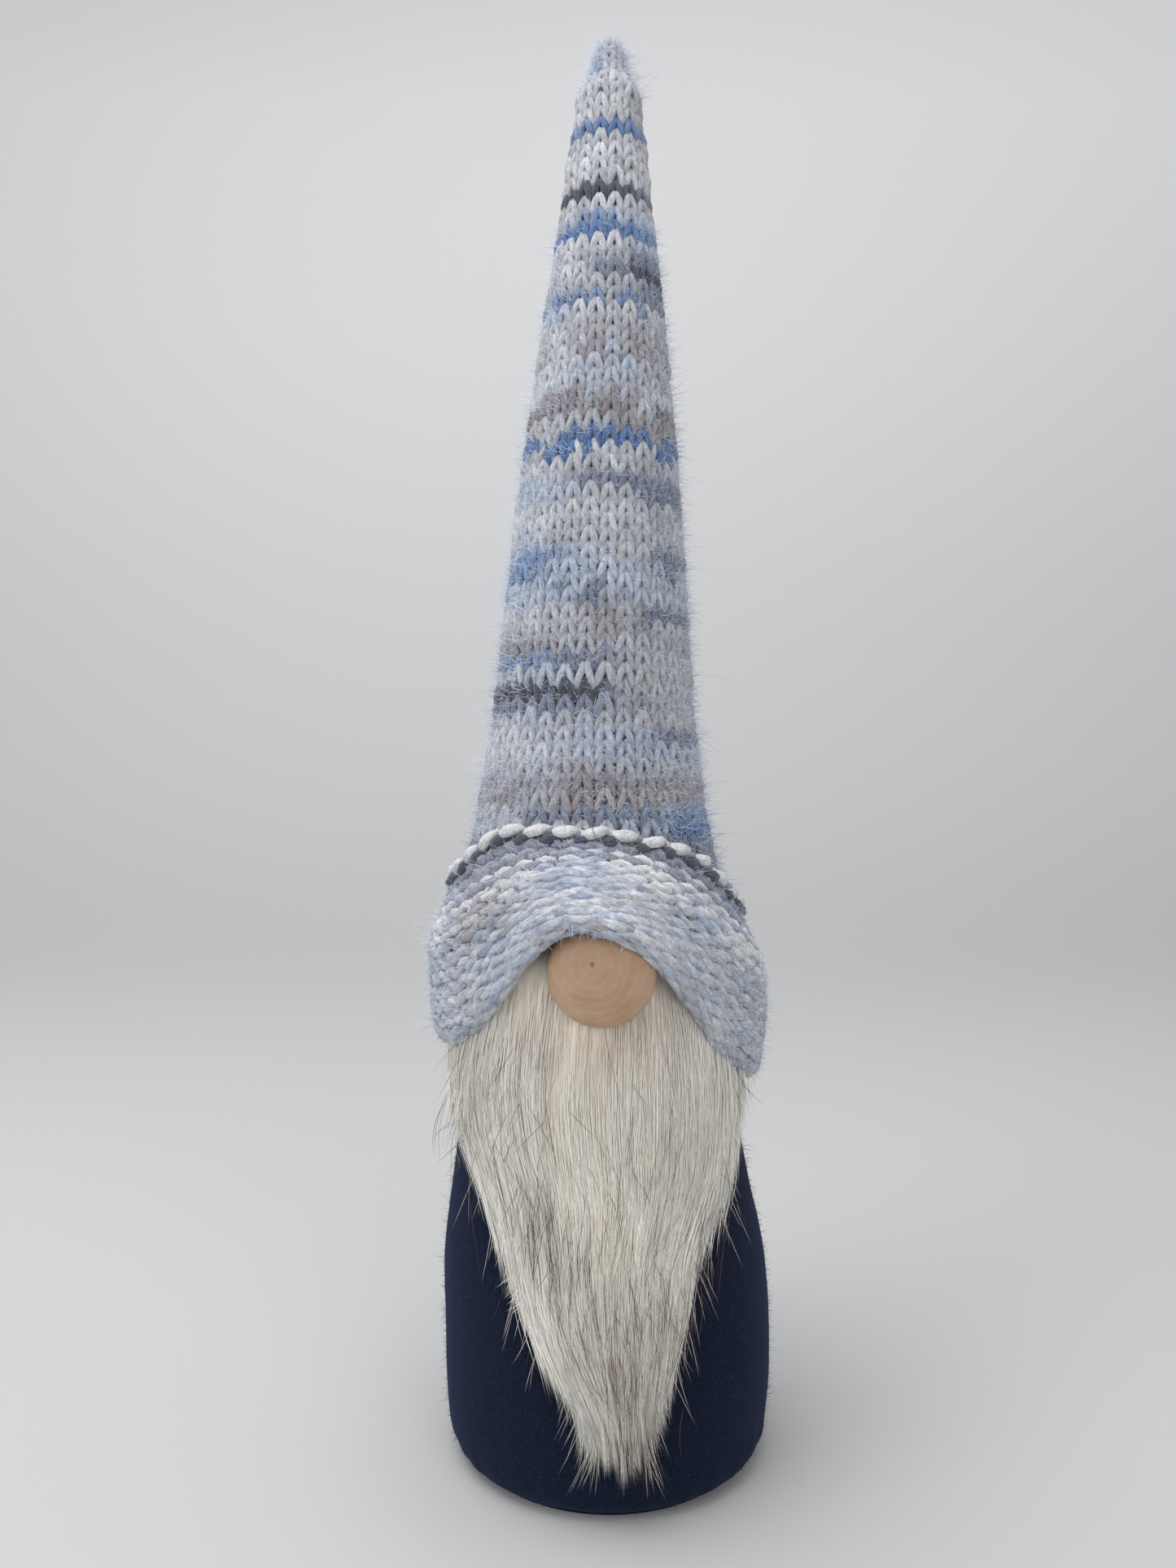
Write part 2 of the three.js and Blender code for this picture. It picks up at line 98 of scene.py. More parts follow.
centre_line = through(
    (-10, 0, 0), (0.2 * NECK, 0, 0), (0.5 * NECK, -2.6, 0), (0.8 * NECK, -3, 0), (NECK, -4, 1),
    (lerp(NECK, TIP, 0.35), -2.6, 6), (lerp(NECK, TIP, 0.7), -0.4, 12.5), (TIP + 10, 1, 20),
)
belly_curve = through(
    (0, STAND), (0.022 * NECK, STAND + 3.2), (0.066 * NECK, BELLY - 1), (0.17 * NECK, BELLY),
    (0.29 * NECK, BELLY - 0.6), (0.38 * NECK, lerp(HEAD, BELLY, 0.7)),
    (0.47 * NECK, lerp(HEAD, BELLY, 0.37)), (0.57 * NECK, lerp(HEAD, BELLY, 0.1)),
    (0.69 * NECK, HEAD), (0.74 * NECK, HEAD),
)
cone_curve = through(*[(share * CONE_LENGTH, radius * CONE_RADIUS) for share, radius in (
    (0, 1), (0.06, 0.91), (0.2, 0.771), (0.315, 0.705), (0.52, 0.584), (0.67, 0.475),
    (0.8, 0.37), (0.906, 0.29), (0.932, 0.264), (0.957, 0.25), (0.974, 0.214), (0.988, 0.168),
    (1.002, 0.14), (1.014, 0.13), (1.026, 0.1), (1.036, 0.05))])


def body_radius(z):
    z = np.asarray(z, float)
    share = np.clip((z - 0.69 * NECK) / (0.31 * NECK), 0, 1)
    dome = NECK_RADIUS + (HEAD - NECK_RADIUS) * np.sqrt(1 - share ** 2)
    return np.where(z < 0.69 * NECK, belly_curve(z), dome)


def hat_radius(h):
    h = np.asarray(h, float)
    skirt = lerp(SKIRT_OUTER, CONE_RADIUS, smooth(h, CUFF_LOW + 0.56 * CUFF_WIDTH, CUFF_HIGH + 2))
    return np.where(h > CUFF_HIGH, cone_curve(h - CUFF_HIGH), skirt)


def fold_line(angle):
    turn = np.degrees(angle) + 2
    spread = np.where(turn < 0, 35, 43)
    return CUFF_LOW + 3.5 - 6 * np.sin(angle) + FRONT_RISE * np.exp(-((turn / spread) ** 2))


def edge_line(angle):
    turn = np.abs(np.degrees(angle)) / 60
    return CUFF_HIGH - 2 - 4 * np.sin(angle) + EDGE_RISE * np.exp(-(turn ** 3))


def on_hat(angle, h, out=0.0):
    """The place on the hat's outer skin at an angle (0 in front) and a nominal height."""
    angle, h = np.broadcast_arrays(np.asarray(angle, float), np.asarray(h, float))
    turn = (angle + np.pi) % (2 * np.pi) - np.pi
    level = (h - CUFF_LOW) / CUFF_WIDTH
    edge = edge_line(turn)
    above = h + (edge - CUFF_HIGH) * (1 - smooth(h, CUFF_HIGH, CUFF_HIGH + 55))
    below = lerp(fold_line(turn), edge, level)
    z = np.where(level <= 1, below, above)
    bulge = np.exp(-((turn / math.radians(NOSE_SPREAD)) ** 2))
    push = NOSE_PUSH * bulge * np.clip(1 - level, 0, None) ** 1.2
    radius = hat_radius(h) + push + out
    shift = centre_line(z)
    return np.stack([shift[..., 0] + radius * np.sin(turn), shift[..., 1] - radius * np.cos(turn), z], -1)


def on_cone(angle, z, out=0.0):
    """The place on the hat at an angle and a true height, so that knitted rows stay level."""
    angle, z = np.broadcast_arrays(np.asarray(angle, float), np.asarray(z, float))
    turn = (angle + np.pi) % (2 * np.pi) - np.pi
    edge, fold = edge_line(turn), fold_line(turn)
    h = z - (edge - CUFF_HIGH)
    for _ in range(14):
        h = z - (edge - CUFF_HIGH) * (1 - smooth(h, CUFF_HIGH, CUFF_HIGH + 55))
    level = np.clip((z - fold) / (edge - fold), 0.08, 1)
    h = np.where(z < edge, CUFF_LOW + level * CUFF_WIDTH, h)
    return on_hat(angle, h, out)


def on_body(angle, z, out=0.0):
    z = np.asarray(z, float)
    radius, shift = body_radius(z) + out, centre_line(z)
    return np.stack([shift[..., 0] + radius * np.sin(angle), shift[..., 1] - radius * np.cos(angle),
                     z + 0 * np.asarray(angle)], -1)


# ---------- materials ----------

def tint(red, green, blue):
    """A colour of paint as the eye names it, turned into light."""
    return tuple(((c / 255 + 0.055) / 1.055) ** 2.4 if c > 10 else c / 255 / 12.92 for c in (red, green, blue)) + (1,)


class Finish:
    """A material and the few kinds of node that the finishes use."""

    def __init__(self, name, rough=0.8, **constants):
        self.material = bpy.data.materials.new(name)
        self.material.use_nodes = True
        self.tree = self.material.node_tree
        self.shader = self.tree.nodes["Principled BSDF"]
        self.shader.inputs["Roughness"].default_value = rough
        for socket, value in constants.items():
            self.shader.inputs[socket.replace("_", " ")].default_value = value
        self.place = self.node("ShaderNodeTexCoord").outputs["Object"]

    def node(self, kind, inputs=None, **settings):
        made = self.tree.nodes.new(kind)
        for key, value in settings.items():
            setattr(made, key, value)
        for key, value in (inputs or {}).items():
            self.feed(made.inputs[key], value)
        return made

    def feed(self, socket, value):
        if isinstance(value, bpy.types.NodeSocket):
            self.tree.links.new(value, socket)
        else:
            socket.default_value = value

    def noise(self, scale, detail=3.0, rough=0.55, warp=0.0, place=None):
        return self.node("ShaderNodeTexNoise", {
            "Vector": place or self.place, "Scale": scale, "Detail": detail,
            "Roughness": rough, "Distortion": warp}).outputs["Fac"]

    def stretch(self, x, y, z, shift=(0, 0, 0), place=None):
        return self.node("ShaderNodeMapping", {
            "Vector": place or self.place, "Scale": (x, y, z), "Location": shift}).outputs["Vector"]

    def ramp(self, fac, *stops):
        made = self.node("ShaderNodeValToRGB", {"Fac": fac})
        marks = made.color_ramp.elements
        while len(marks) < len(stops):
            marks.new(0.5)
        for mark, (where, colour) in zip(marks, stops):
            mark.position, mark.color = where, colour if hasattr(colour, "__len__") else (colour,) * 3 + (1,)
        return made.outputs["Color"]

    def mix(self, fac, a, b, how="MIX"):
        made = self.node("ShaderNodeMix", data_type="RGBA", blend_type=how)
        self.feed(made.inputs["Factor"], fac)
        self.feed(made.inputs[6], a)
        self.feed(made.inputs[7], b)
        return made.outputs[2]

    def math(self, how, a, b=0.0):
        made = self.node("ShaderNodeMath", operation=how)
        self.feed(made.inputs[0], a)
        self.feed(made.inputs[1], b)
        return made.outputs[0]

    def own(self, name, kind="Color"):
        return self.node("ShaderNodeAttribute", attribute_name=name).outputs[kind]

    def colour(self, value):
        self.feed(self.shader.inputs["Base Color"], value)
        return self

    def bump(self, height, strength, distance):
        normal = self.node("ShaderNodeBump", {
            "Height": height, "Strength": strength, "Distance": distance}).outputs["Normal"]
        self.feed(self.shader.inputs["Normal"], normal)
        return self


def knitting_yarn(name, dry=1.0):
    """Loose single-ply wool whose colour drifts from stitch to stitch."""
    wool = Finish(name, 0.95, Sheen_Weight=0.35, Sheen_Roughness=0.6, Specular_IOR_Level=0.2)
    lie = wool.own("lie", "Vector")
    flecks = wool.noise(1.0, 4, 0.7, place=wool.stretch(0.55, 1.5, 1.5, place=lie))
    base = wool.own("yarn")
    light = wool.mix(1.0, base, (1.42 * dry, 1.4 * dry, 1.36 * dry, 1), "MULTIPLY")
    pale = wool.mix(wool.ramp(flecks, (0.45, 0.0), (0.64, 1.0)), base, light)
    dark = wool.mix(1.0, pale, (0.74, 0.77, 0.84, 1), "MULTIPLY")
    wool.colour(wool.mix(wool.ramp(flecks, (0.34, 0.9), (0.48, 0.0)), pale, dark))
    hairs = wool.noise(1.0, 3, 0.65, place=wool.stretch(0.9, 3.2, 3.2, place=lie))
    return wool.bump(hairs, 1.0, 0.0014).material


def strand_finish(name, rough, **constants):
    """Hair or fibre, coloured strand by strand."""
    hair = Finish(name, rough, **constants)
    streak = hair.noise(500, 2, 0.5, place=hair.stretch(1, 1, 0.12))
    shade = hair.ramp(streak, (0.3, 0.95), (0.7, 1.0))
    return hair.colour(hair.mix(1.0, hair.own("yarn"), shade, "MULTIPLY")).material


# ---------- making ----------

def dress(obj, material, body, replaces=()):
    obj.data.materials.clear()
    obj.data.materials.append(material)
    if body:
        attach(obj, body)
    if replaces:
        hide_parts(*replaces)
    return obj


def section(sides):
    """The round section that a strand is swept with."""
    ring = bpy.data.curves.new("section", "CURVE")
    spline = ring.splines.new("POLY")
    spline.points.add(sides - 1)
    for k, point in enumerate(spline.points):
        turn = 2 * math.pi * k / sides
        point.co = (MM * math.cos(turn), MM * math.sin(turn), 0, 1)
    spline.use_cyclic_u = True
    holder = bpy.data.objects.new("section", ring)
    bpy.context.collection.objects.link(holder)
    return holder


def strands(name, paths, sides=3, closed=False, colours=None):
    """Round strands in one mesh. Each path is points in mm with a radius in mm after them."""
    line = bpy.data.curves.new(name, "CURVE")
    ring = section(sides)
    line.dimensions, line.bevel_mode, line.bevel_object = "3D", "OBJECT", ring
    for path in paths:
        spline = line.splines.new("POLY")
        spline.points.add(len(path) - 1)
        co = np.ones((len(path), 4))
        co[:, :3] = path[:, :3] * MM
        spline.points.foreach_set("co", co.ravel())
        spline.points.foreach_set("radius", path[:, 3])
        spline.use_cyclic_u = closed
    holder = bpy.data.objects.new(name, line)
    bpy.context.collection.objects.link(holder)
    swept = holder.evaluated_get(bpy.context.evaluated_depsgraph_get())
    mesh = bpy.data.meshes.new_from_object(swept)
    mesh.name = name
    bpy.data.objects.remove(holder)
    bpy.data.curves.remove(line)
    bpy.data.objects.remove(ring)
    made = bpy.data.objects.new(name, mesh)
    bpy.context.collection.objects.link(made)
    for polygon in mesh.polygons:
        polygon.use_smooth = True
    if colours is not None:
        paint = np.repeat(np.concatenate(colours), sides, axis=0)
        if paint.shape[0] != len(mesh.vertices):
            raise ValueError(f"{name}: {paint.shape[0]} colours for {len(mesh.vertices)} corners")
        layer = mesh.attributes.new("yarn", "FLOAT_COLOR", "POINT")
        layer.data.foreach_set("color", np.c_[paint, np.ones(len(paint))].astype(np.float32).ravel())
        turn = np.tile(np.linspace(0, 2 * np.pi, sides, endpoint=False), len(paint) // sides)
        along = np.concatenate([np.cumsum(np.linalg.norm(np.diff(p[:, :3], axis=0, prepend=p[:1, :3]), axis=1)) + 70 * k
                                for k, p in enumerate(paths)])
        lie = np.c_[np.repeat(along, sides), np.cos(turn), np.sin(turn)].astype(np.float32)
        mesh.attributes.new("lie", "FLOAT_VECTOR", "POINT").data.foreach_set("vector", lie.ravel())
    if not closed:
        bm = bmesh.new()
        bm.from_mesh(mesh)
        bmesh.ops.remove_doubles(bm, verts=bm.verts, dist=1e-7)
        bm.to_mesh(mesh)
        bm.free()
    return made


def from_bmesh(name, bm, shade_smooth=True):
    bmesh.ops.remove_doubles(bm, verts=bm.verts, dist=1e-6)
    bmesh.ops.recalc_face_normals(bm, faces=bm.faces)
    mesh = bpy.data.meshes.new(name)
    bm.to_mesh(mesh)
    bm.free()
    for polygon in mesh.polygons:
        polygon.use_smooth = shade_smooth
    made = bpy.data.objects.new(name, mesh)
    bpy.context.collection.objects.link(made)
    return made


def spun(outline, steps, axis=(0, 0, 1)):
    """An outline of (radius, height) in mm turned about Z, or about Y with heights along Y."""
    bm = bmesh.new()
    along_y = axis == (0, 1, 0)
    corners = [bm.verts.new(((r * MM, h * MM, 0) if along_y else (r * MM, 0, h * MM))) for r, h in outline]
    edges = [bm.edges.new(pair) for pair in zip(corners, corners[1:])]
    bmesh.ops.spin(bm, geom=corners + edges, cent=(0, 0, 0), axis=axis, angle=2 * math.pi, steps=steps,
                   use_merge=True, use_duplicate=False, dvec=(0, 0, 0))
    bmesh.ops.remove_doubles(bm, verts=bm.verts, dist=1e-6)
    return bm


def move(bm, place):
    """Puts each corner where place(x, y, z) in mm says."""
    for corner in bm.verts:
        corner.co = Vector(place(*(corner.co / MM))) * MM


# ---------- yarn colours ----------

FROST, PALE, MIST = tint(216, 219, 226), tint(188, 200, 219), tint(190, 192, 200)
DENIM, ROYAL, CHARCOAL = tint(120, 148, 192), tint(76, 118, 178), tint(62, 66, 84)
SLATE, TAUPE, UMBER = tint(120, 132, 156), tint(162, 157, 163), tint(136, 129, 135)
MILK, LAVENDER = tint(232, 234, 238), tint(158, 160, 176)
# Pale blue-white that the loose fibres are mixed towards: painted light for the glow that fine fibres catch at the
# silhouettes.
HALO_GLOW_PAINTED = np.array(tint(224, 233, 249)[:3])

# Height, then the yarn's colour at the figure's right, middle and left, from the tip down
STRIPES = (
    (417, FROST, MILK, MILK), (411, PALE, FROST, FROST), (407, DENIM, FROST, FROST), (403, FROST, MILK, FROST),
    (399, FROST, FROST, FROST), (394, FROST, FROST, MIST), (390, FROST, MIST, MIST), (385, DENIM, ROYAL, DENIM),
    (381, MIST, MIST, MIST), (376, FROST, FROST, MIST), (367, FROST, MIST, FROST),
    (362, CHARCOAL, CHARCOAL, SLATE), (358, MIST, FROST, MIST), (354, PALE, DENIM, PALE),
    (349, ROYAL, ROYAL, DENIM), (345, FROST, FROST, PALE), (340, FROST, MIST, SLATE), (336, FROST, SLATE, CHARCOAL),
    (331, MIST, MIST, SLATE), (327, DENIM, DENIM, SLATE), (323, PALE, FROST, MIST), (318, FROST, MIST, MIST),
    (314, MIST, TAUPE, TAUPE), (309, FROST, PALE, MIST), (305, FROST, PALE, MIST), (301, FROST, MIST, FROST),
    (297, TAUPE, TAUPE, MIST), (293, UMBER, UMBER, UMBER), (289, MIST, TAUPE, TAUPE), (284, ROYAL, ROYAL, ROYAL),
    (280, MIST, FROST, MIST), (276, FROST, MIST, MIST), (272, PALE, SLATE, SLATE), (268, PALE, MIST, SLATE),
    (263, FROST, FROST, MIST), (259, FROST, MIST, FROST), (255, PALE, MIST, MIST), (250, DENIM, PALE, SLATE),
    (246, DENIM, PALE, PALE), (241, PALE, SLATE, PALE), (237, FROST, TAUPE, SLATE), (233, MIST, TAUPE, MIST),
    (228, TAUPE, MIST, TAUPE), (224, DENIM, SLATE, MIST), (219, PALE, MIST, MIST), (214, CHARCOAL, CHARCOAL, MIST),
    (210, SLATE, SLATE, MIST), (206, MIST, MIST, MIST), (201, FROST, PALE, SLATE), (196, FROST, PALE, PALE),
    (192, MIST, TAUPE, MIST), (187, TAUPE, UMBER, TAUPE), (183, TAUPE, TAUPE, TAUPE), (179, MIST, SLATE, DENIM),
    (175, PALE, MIST, ROYAL), (170, SLATE, PALE, SLATE), (160, SLATE, PALE, ROYAL),
)
stripe_heights = np.array([s[0] for s in STRIPES][::-1], float)
stripe_colours = np.array([[c[:3] for c in s[1:]] for s in STRIPES][::-1])


def drift(angle, z, grain, seed):
    """A slow wander between about -1 and 1 along the yarn, cut into bits about grain mm long."""
    angle, z = np.ravel(angle), np.ravel(z)
    return 1.6 * np.array([noise.noise(Vector((math.cos(a) * 38 / grain, math.sin(a) * 38 / grain, h / 4.25 * 0.9 + seed)))
                           for a, h in zip(angle, z)])


def stripe(z, angle, wander=True):
    """The yarn's colour where a stitch lies, for arrays of heights and angles."""
    z, angle = np.ravel(z), np.ravel(angle)
    if wander:
        quiet = np.clip(0.15 + 0.6 * drift(angle, z, 9, 40.0), 0, 0.65)[:, None]
        z, angle = z + 0.5 * drift(angle, z, 12, 0.0), angle + 0.3 * drift(angle, z, 20, 80.0)
        hue = smooth(drift(angle, z, 15, 120.0), -0.5, 0.5)[:, None]
        calm = lerp(np.array(MIST[:3]), np.array(PALE[:3]), hue)
        plain = stripe(z, angle, False)
        return lerp(plain, calm, quiet * smooth(plain[:, :1], 0.08, 0.4))
    i = np.argmin(np.abs(stripe_heights[:, None] - np.ravel(z)), axis=0)
    right, middle, left = (stripe_colours[i, k] for k in range(3))
    turn = (np.ravel(angle) + np.pi) % (2 * np.pi) - np.pi
    side = np.where((turn < 0)[:, None], right, left)
    near = smooth(np.abs(turn), 0.15, 0.75)[:, None]
    back = smooth(np.abs(turn), 1.5, 2.6)[:, None]
    return lerp(lerp(middle, side, near), (right + left) / 2, back)


# ---------- knitting ----------

def loop_row(place, count, angles, height, lift, radius, legs_out, points=12):
    """One row of knitted loops. place(angle, up, out) gives points in mm."""
    t = np.linspace(0, 2 * np.pi, points, endpoint=False)
    step = angles
    turn = (np.arange(count)[:, None] - (count - 1) / 2 - 0.5 + t / (2 * np.pi)
            + 0.25 * np.sin(2 * t)) * step
    up = lift * np.cos(t)[None, :] * np.ones((count, 1))
    out = -legs_out * np.cos(2 * t)[None, :] * np.ones((count, 1))
    wobble = rng.normal(0, 1, (count, 3))
    up = up + 0.25 * wobble[:, :1]
    out = out + 0.2 * wobble[:, 1:2]
    thick = radius * (1 + 0.07 * wobble[:, 2:]) * np.ones_like(up)
    where = place(turn.ravel(), height, up.ravel(), out.ravel())
    return np.c_[where, thick.ravel()], turn


WALE, COURSE = 5.5, 4.25


def wale_width(z):
    return np.interp(z, [170, 210, 243, 345, 395, 408], [5.5, 5.2, 5.0, 4.6, 4.1, 3.6])


def hat_place(angle, z, up, out):
    return on_cone(angle, z + up, out - 1.3)


def hat_rows():
    """Rows of the cone from under the cast-on edge up to the tip."""
    rows, tints = [], []
    z = CUFF_HIGH - 11
    while z < TOP - 2:
        radius = float(hat_radius(max(z - 8 * (1 - smooth(z, 157, 215)), CUFF_HIGH))) - 1.3
        count = max(5, int(round(2 * np.pi * radius / wale_width(z) / 2)) * 2)
        size = min(1.0, radius / 6)
        row, turn = loop_row(hat_place, count, 2 * np.pi / count, z, 4.2 * size, 1.12 * lerp(0.8, 1, size), 0.85 * size)
        colour = stripe(np.full(len(row), z), turn.ravel())
        per_stitch = rng.normal(1, 0.07, (count, 1)).repeat(12, axis=0)
        rows.append(row)
        tints.append(np.clip(colour * per_stitch, 0, 1))
        z += COURSE * lerp(0.72, 1, size)
    return rows, tints


def cuff_profile(angle, run):
    """The cuff's outer skin. run is mm down from the cast-on edge; past the fold it goes up inside."""
    turn = (angle + np.pi) % (2 * np.pi) - np.pi
    fold, edge = fold_line(turn), edge_line(turn)
    length = edge - fold - 3.3 - 3.0 * np.exp(-(turn / 0.75) ** 2)
    level = 1 - run / CUFF_RUN
    bulge = np.exp(-((turn / math.radians(NOSE_SPREAD)) ** 2))
    flat = np.clip(level, 0, 1)
    tall = np.clip(level, 0, None)
    h = CUFF_LOW + flat * CUFF_WIDTH
    push = NOSE_PUSH * bulge * (1 - flat) ** 1.2
    radius = hat_radius(h) + 0.35 + KNIT + 1.5 * np.sin(np.pi * flat ** 0.8) + 0.3 * flat + push
    z = fold + 3.3 + tall * length
    roll = np.clip(-level, 0, None) * CUFF_RUN / 3.3
    bend = np.minimum(roll, np.pi)
    inside = np.clip(roll - np.pi, 0, None) * 3.3
    radius = radius - 3.3 * (1 - np.cos(bend))
    z = z - 3.3 * np.sin(bend) + inside
    return radius, z, turn


CUFF_RUN = 47.0


def cuff_place(angle, run, up, out):
    here = run - up
    radius, z, turn = cuff_profile(angle, here)
    ahead, ahead_z, _ = cuff_profile(angle, here + 0.5)
    slope = np.hypot(ahead - radius, ahead_z - z)
    normal_r, normal_z = -(ahead_z - z) / slope, (ahead - radius) / slope
    out = out - 1.3
    radius, z = radius + normal_r * out, z + normal_z * out
    shift = centre_line(z)
    return np.stack([shift[..., 0] + radius * np.sin(turn), shift[..., 1] - radius * np.cos(turn), z], -1)


def cuff_colour(run, angle):
    """Bands of the turned-up cuff: lavender below the edge, near-white, then mottled pale blue."""
    bands = ((0, SLATE), (3, LAVENDER), (8, LAVENDER), (10, PALE), (12, MILK), (17, MILK), (20, FROST), (24, PALE),
             (29, MIST), (33, FROST), (38, PALE), (43, FROST), (47, PALE), (52, MIST), (60, MIST))
    at = np.array([b[0] for b in bands], float)
    colours = np.array([b[1][:3] for b in bands])
    angle, run = (np.ravel(angle) + np.pi) % (2 * np.pi) - np.pi, np.ravel(run)
    loose = np.clip(run / 14, 0.15, 1)
    wander = run + loose * (1.5 * np.sin(3 * angle + 0.7) + 4 * drift(angle, run, 10, 7.0))
    band = np.stack([np.interp(wander, at, colours[:, k]) for k in range(3)], -1)
    pick = drift(angle, run, 7, 33.0)[:, None]
    band = lerp(band, np.array(DENIM[:3]), 0.6 * smooth(pick, 0.45, 0.9))
    patch = np.exp(-((angle + 0.7) / 0.28) ** 2 - ((run - 22) / 6) ** 2)[:, None]
    return lerp(band, np.array(TAUPE[:3]), np.maximum(0.5 * smooth(-pick, 0.5, 0.9), 0.8 * patch))


def cuff_rows():
    rows, tints = [], []
    count = 46
    for run in np.arange(1.0, 64, COURSE * 0.97):
        row, turn = loop_row(cuff_place, count, 2 * np.pi / count, run, 3.1, 1.36, -0.6)
        per_stitch = rng.normal(1, 0.08, (count, 1)).repeat(12, axis=0)
        rows.append(row)
        tints.append(np.clip(cuff_colour(np.full(len(row), run), turn) * per_stitch, 0, 1))
    return rows, tints


def cast_on(name, phase, radius, sit, colour, node):
    """One of the two strands twisted along the cuff's edge."""
    n = 900
    angle = np.linspace(0, 2 * np.pi, n, endpoint=False)
    edge, z, _ = cuff_profile(angle, np.zeros(n))
    twist = angle * 33 + phase
    twist = twist - 0.35 * math.cos(phase) * np.sin(twist)
    wave = 0.4 * np.sin(angle * 9 + 1) + 0.25 * np.sin(angle * 17)
    radius_at = edge - 0.5 + 0.85 * np.cos(twist)
    z = z + 0.5 + sit + 0.45 * np.sin(twist) + wave
    shift = centre_line(z)
    thick = radius * (1 + 0.2 * np.cos(twist))
    path = np.c_[shift[:, 0] + radius_at * np.sin(angle), shift[:, 1] - radius_at * np.cos(angle), z, thick]
    paint = np.tile(np.array(colour[:3]), (n, 1)) * rng.normal(1, 0.06, (n, 1))
    strand = strands(name, [path], 6, True, [np.clip(paint, 0, 1)])
    return dress(strand, edge_wool, "hat", [node])


def fuzz(name, count, surface, colour_at, lifts, thick, lengths):
    """A halo of fine wool fibres that stand and curl off the yarn."""
    paths, tints = [], []
    for _ in range(count):
        angle, place = rng.uniform(-np.pi, np.pi), rng.uniform()
        root, out, along = surface(angle, place)
        way = rng.normal(0, 1, 3)
        way /= np.linalg.norm(way)
        lift = rng.uniform(*lifts)
        way = way * (1 - lift) + out * lift
        bend = rng.normal(0, 1, 3) * 0.5
        length = rng.gamma(2.4, lengths) + 0.9
        t = np.array([0, 0.2, 0.65, 1.0])[:, None]
        points = root + way * t * length + bend * t ** 2 * length * 0.5
        paths.append(np.c_[points, [0, thick, 0.8 * thick, 0]])
        base = colour_at(root, angle, place)
        # Each fibre keeps 0 to 45 percent of its own yarn colour; the rest is the pale blue-white painted light of the
        # halo.
        tints.append(np.tile(np.clip(lerp(base, HALO_GLOW_PAINTED, rng.uniform(0.55, 1.0)), 0, 1), (4, 1)))
    halo = strands(name, paths, 3, False, tints)
    return dress(halo, halo_wool, "hat")


def cone_root(angle, place):
    if place < 0.95:
        h = CUFF_HIGH - 2 + (TOP - CUFF_HIGH - 1) * (1 - math.sqrt(1 - place))
    else:
        h = lerp(396, TOP - 0.5, (place - 0.95) / 0.05)
    root = on_hat(angle, h, -0.4)
    out = np.array([math.sin(angle), -math.cos(angle), 0.15])
    return root, out, h


def cuff_root(angle, place):
    run = place * 52
    here = cuff_place(np.array([angle]), np.array([run]), 0.0, np.array([0.3]))[0]
    ahead = cuff_place(np.array([angle]), np.array([run]), 0.0, np.array([1.3]))[0]
    return here, ahead - here, run


wool = knitting_yarn("striped_wool")
edge_wool = knitting_yarn("cast_on_wool", 0.8)
halo_wool = strand_finish("wool_fibres", 0.9, Sheen_Weight=0.3, Specular_IOR_Level=0.2)


def make_hat():
    rows, tints = hat_rows()
    half = 20
    lower = strands("hat_knitting_lower", rows[:half], 6, True, tints[:half])
    upper = strands("hat_knitting_upper", rows[half:], 6, True, tints[half:])
    dress(lower, wool, "hat", ["hat_cone"])
    dress(upper, wool, "hat")
    rows, tints = cuff_rows()
    cuff = strands("hat_cuff_knitting", rows, 6, True, tints)
    dress(cuff, wool, "hat", ["hat_cuff"])
    cast_on("cast_on_white_strand", 0.0, 1.4, 1.1, MILK, "cast_on_white")
    cast_on("cast_on_charcoal_strand", np.pi, 1.5, -1.3, CHARCOAL, "cast_on_dark")

    def cone_tint(root, angle, place):
        return stripe(root[2], angle, False)[0]

    def cuff_tint(root, angle, place):
        return cuff_colour([place * 52], [angle])[0]

    fuzz("hat_fuzz_close", 11500, cone_root, cone_tint, (0.1, 0.45), 0.045, 0.7)
    fuzz("hat_fuzz_halo", 16500, cone_root, cone_tint, (0.35, 0.8), 0.075, 0.85)
    fuzz("hat_fuzz_edge", 9000, cone_root, cone_tint, (0.5, 0.85), 0.075, 1.1)
    fuzz("cuff_fuzz", 16000, cuff_root, cuff_tint, (0.1, 0.8), 0.07, 0.75)
    return lower, upper, cuff


def cuff_liner():
    """The inner face of the cuff's fabric, seen between its rows."""
    bm = bmesh.new()
    bmesh.ops.create_grid(bm, x_segments=96, y_segments=44, size=0.5)
    for corner in bm.verts:
        angle, run = corner.co.x * 2 * math.pi, 0.4 + (corner.co.y + 0.5) * 61
        corner.co = Vector(cuff_place(np.array([angle]), np.array([run]), 0.0, np.array([-0.5]))[0]) * MM
    made = from_bmesh("cuff_inner_face", bm)
    wall = made.modifiers.new("wall", "SOLIDIFY")
    wall.thickness, wall.offset = 0.5 * MM, -1
    cloth = Finish("cuff_underside", 0.98, Sheen_Weight=0.2)
    cloth.colour(cloth.ramp(cloth.noise(300, 4, 0.7), (0.3, tint(96, 102, 120)), (0.7, tint(168, 174, 188))))
    return dress(made, cloth.material, "hat")


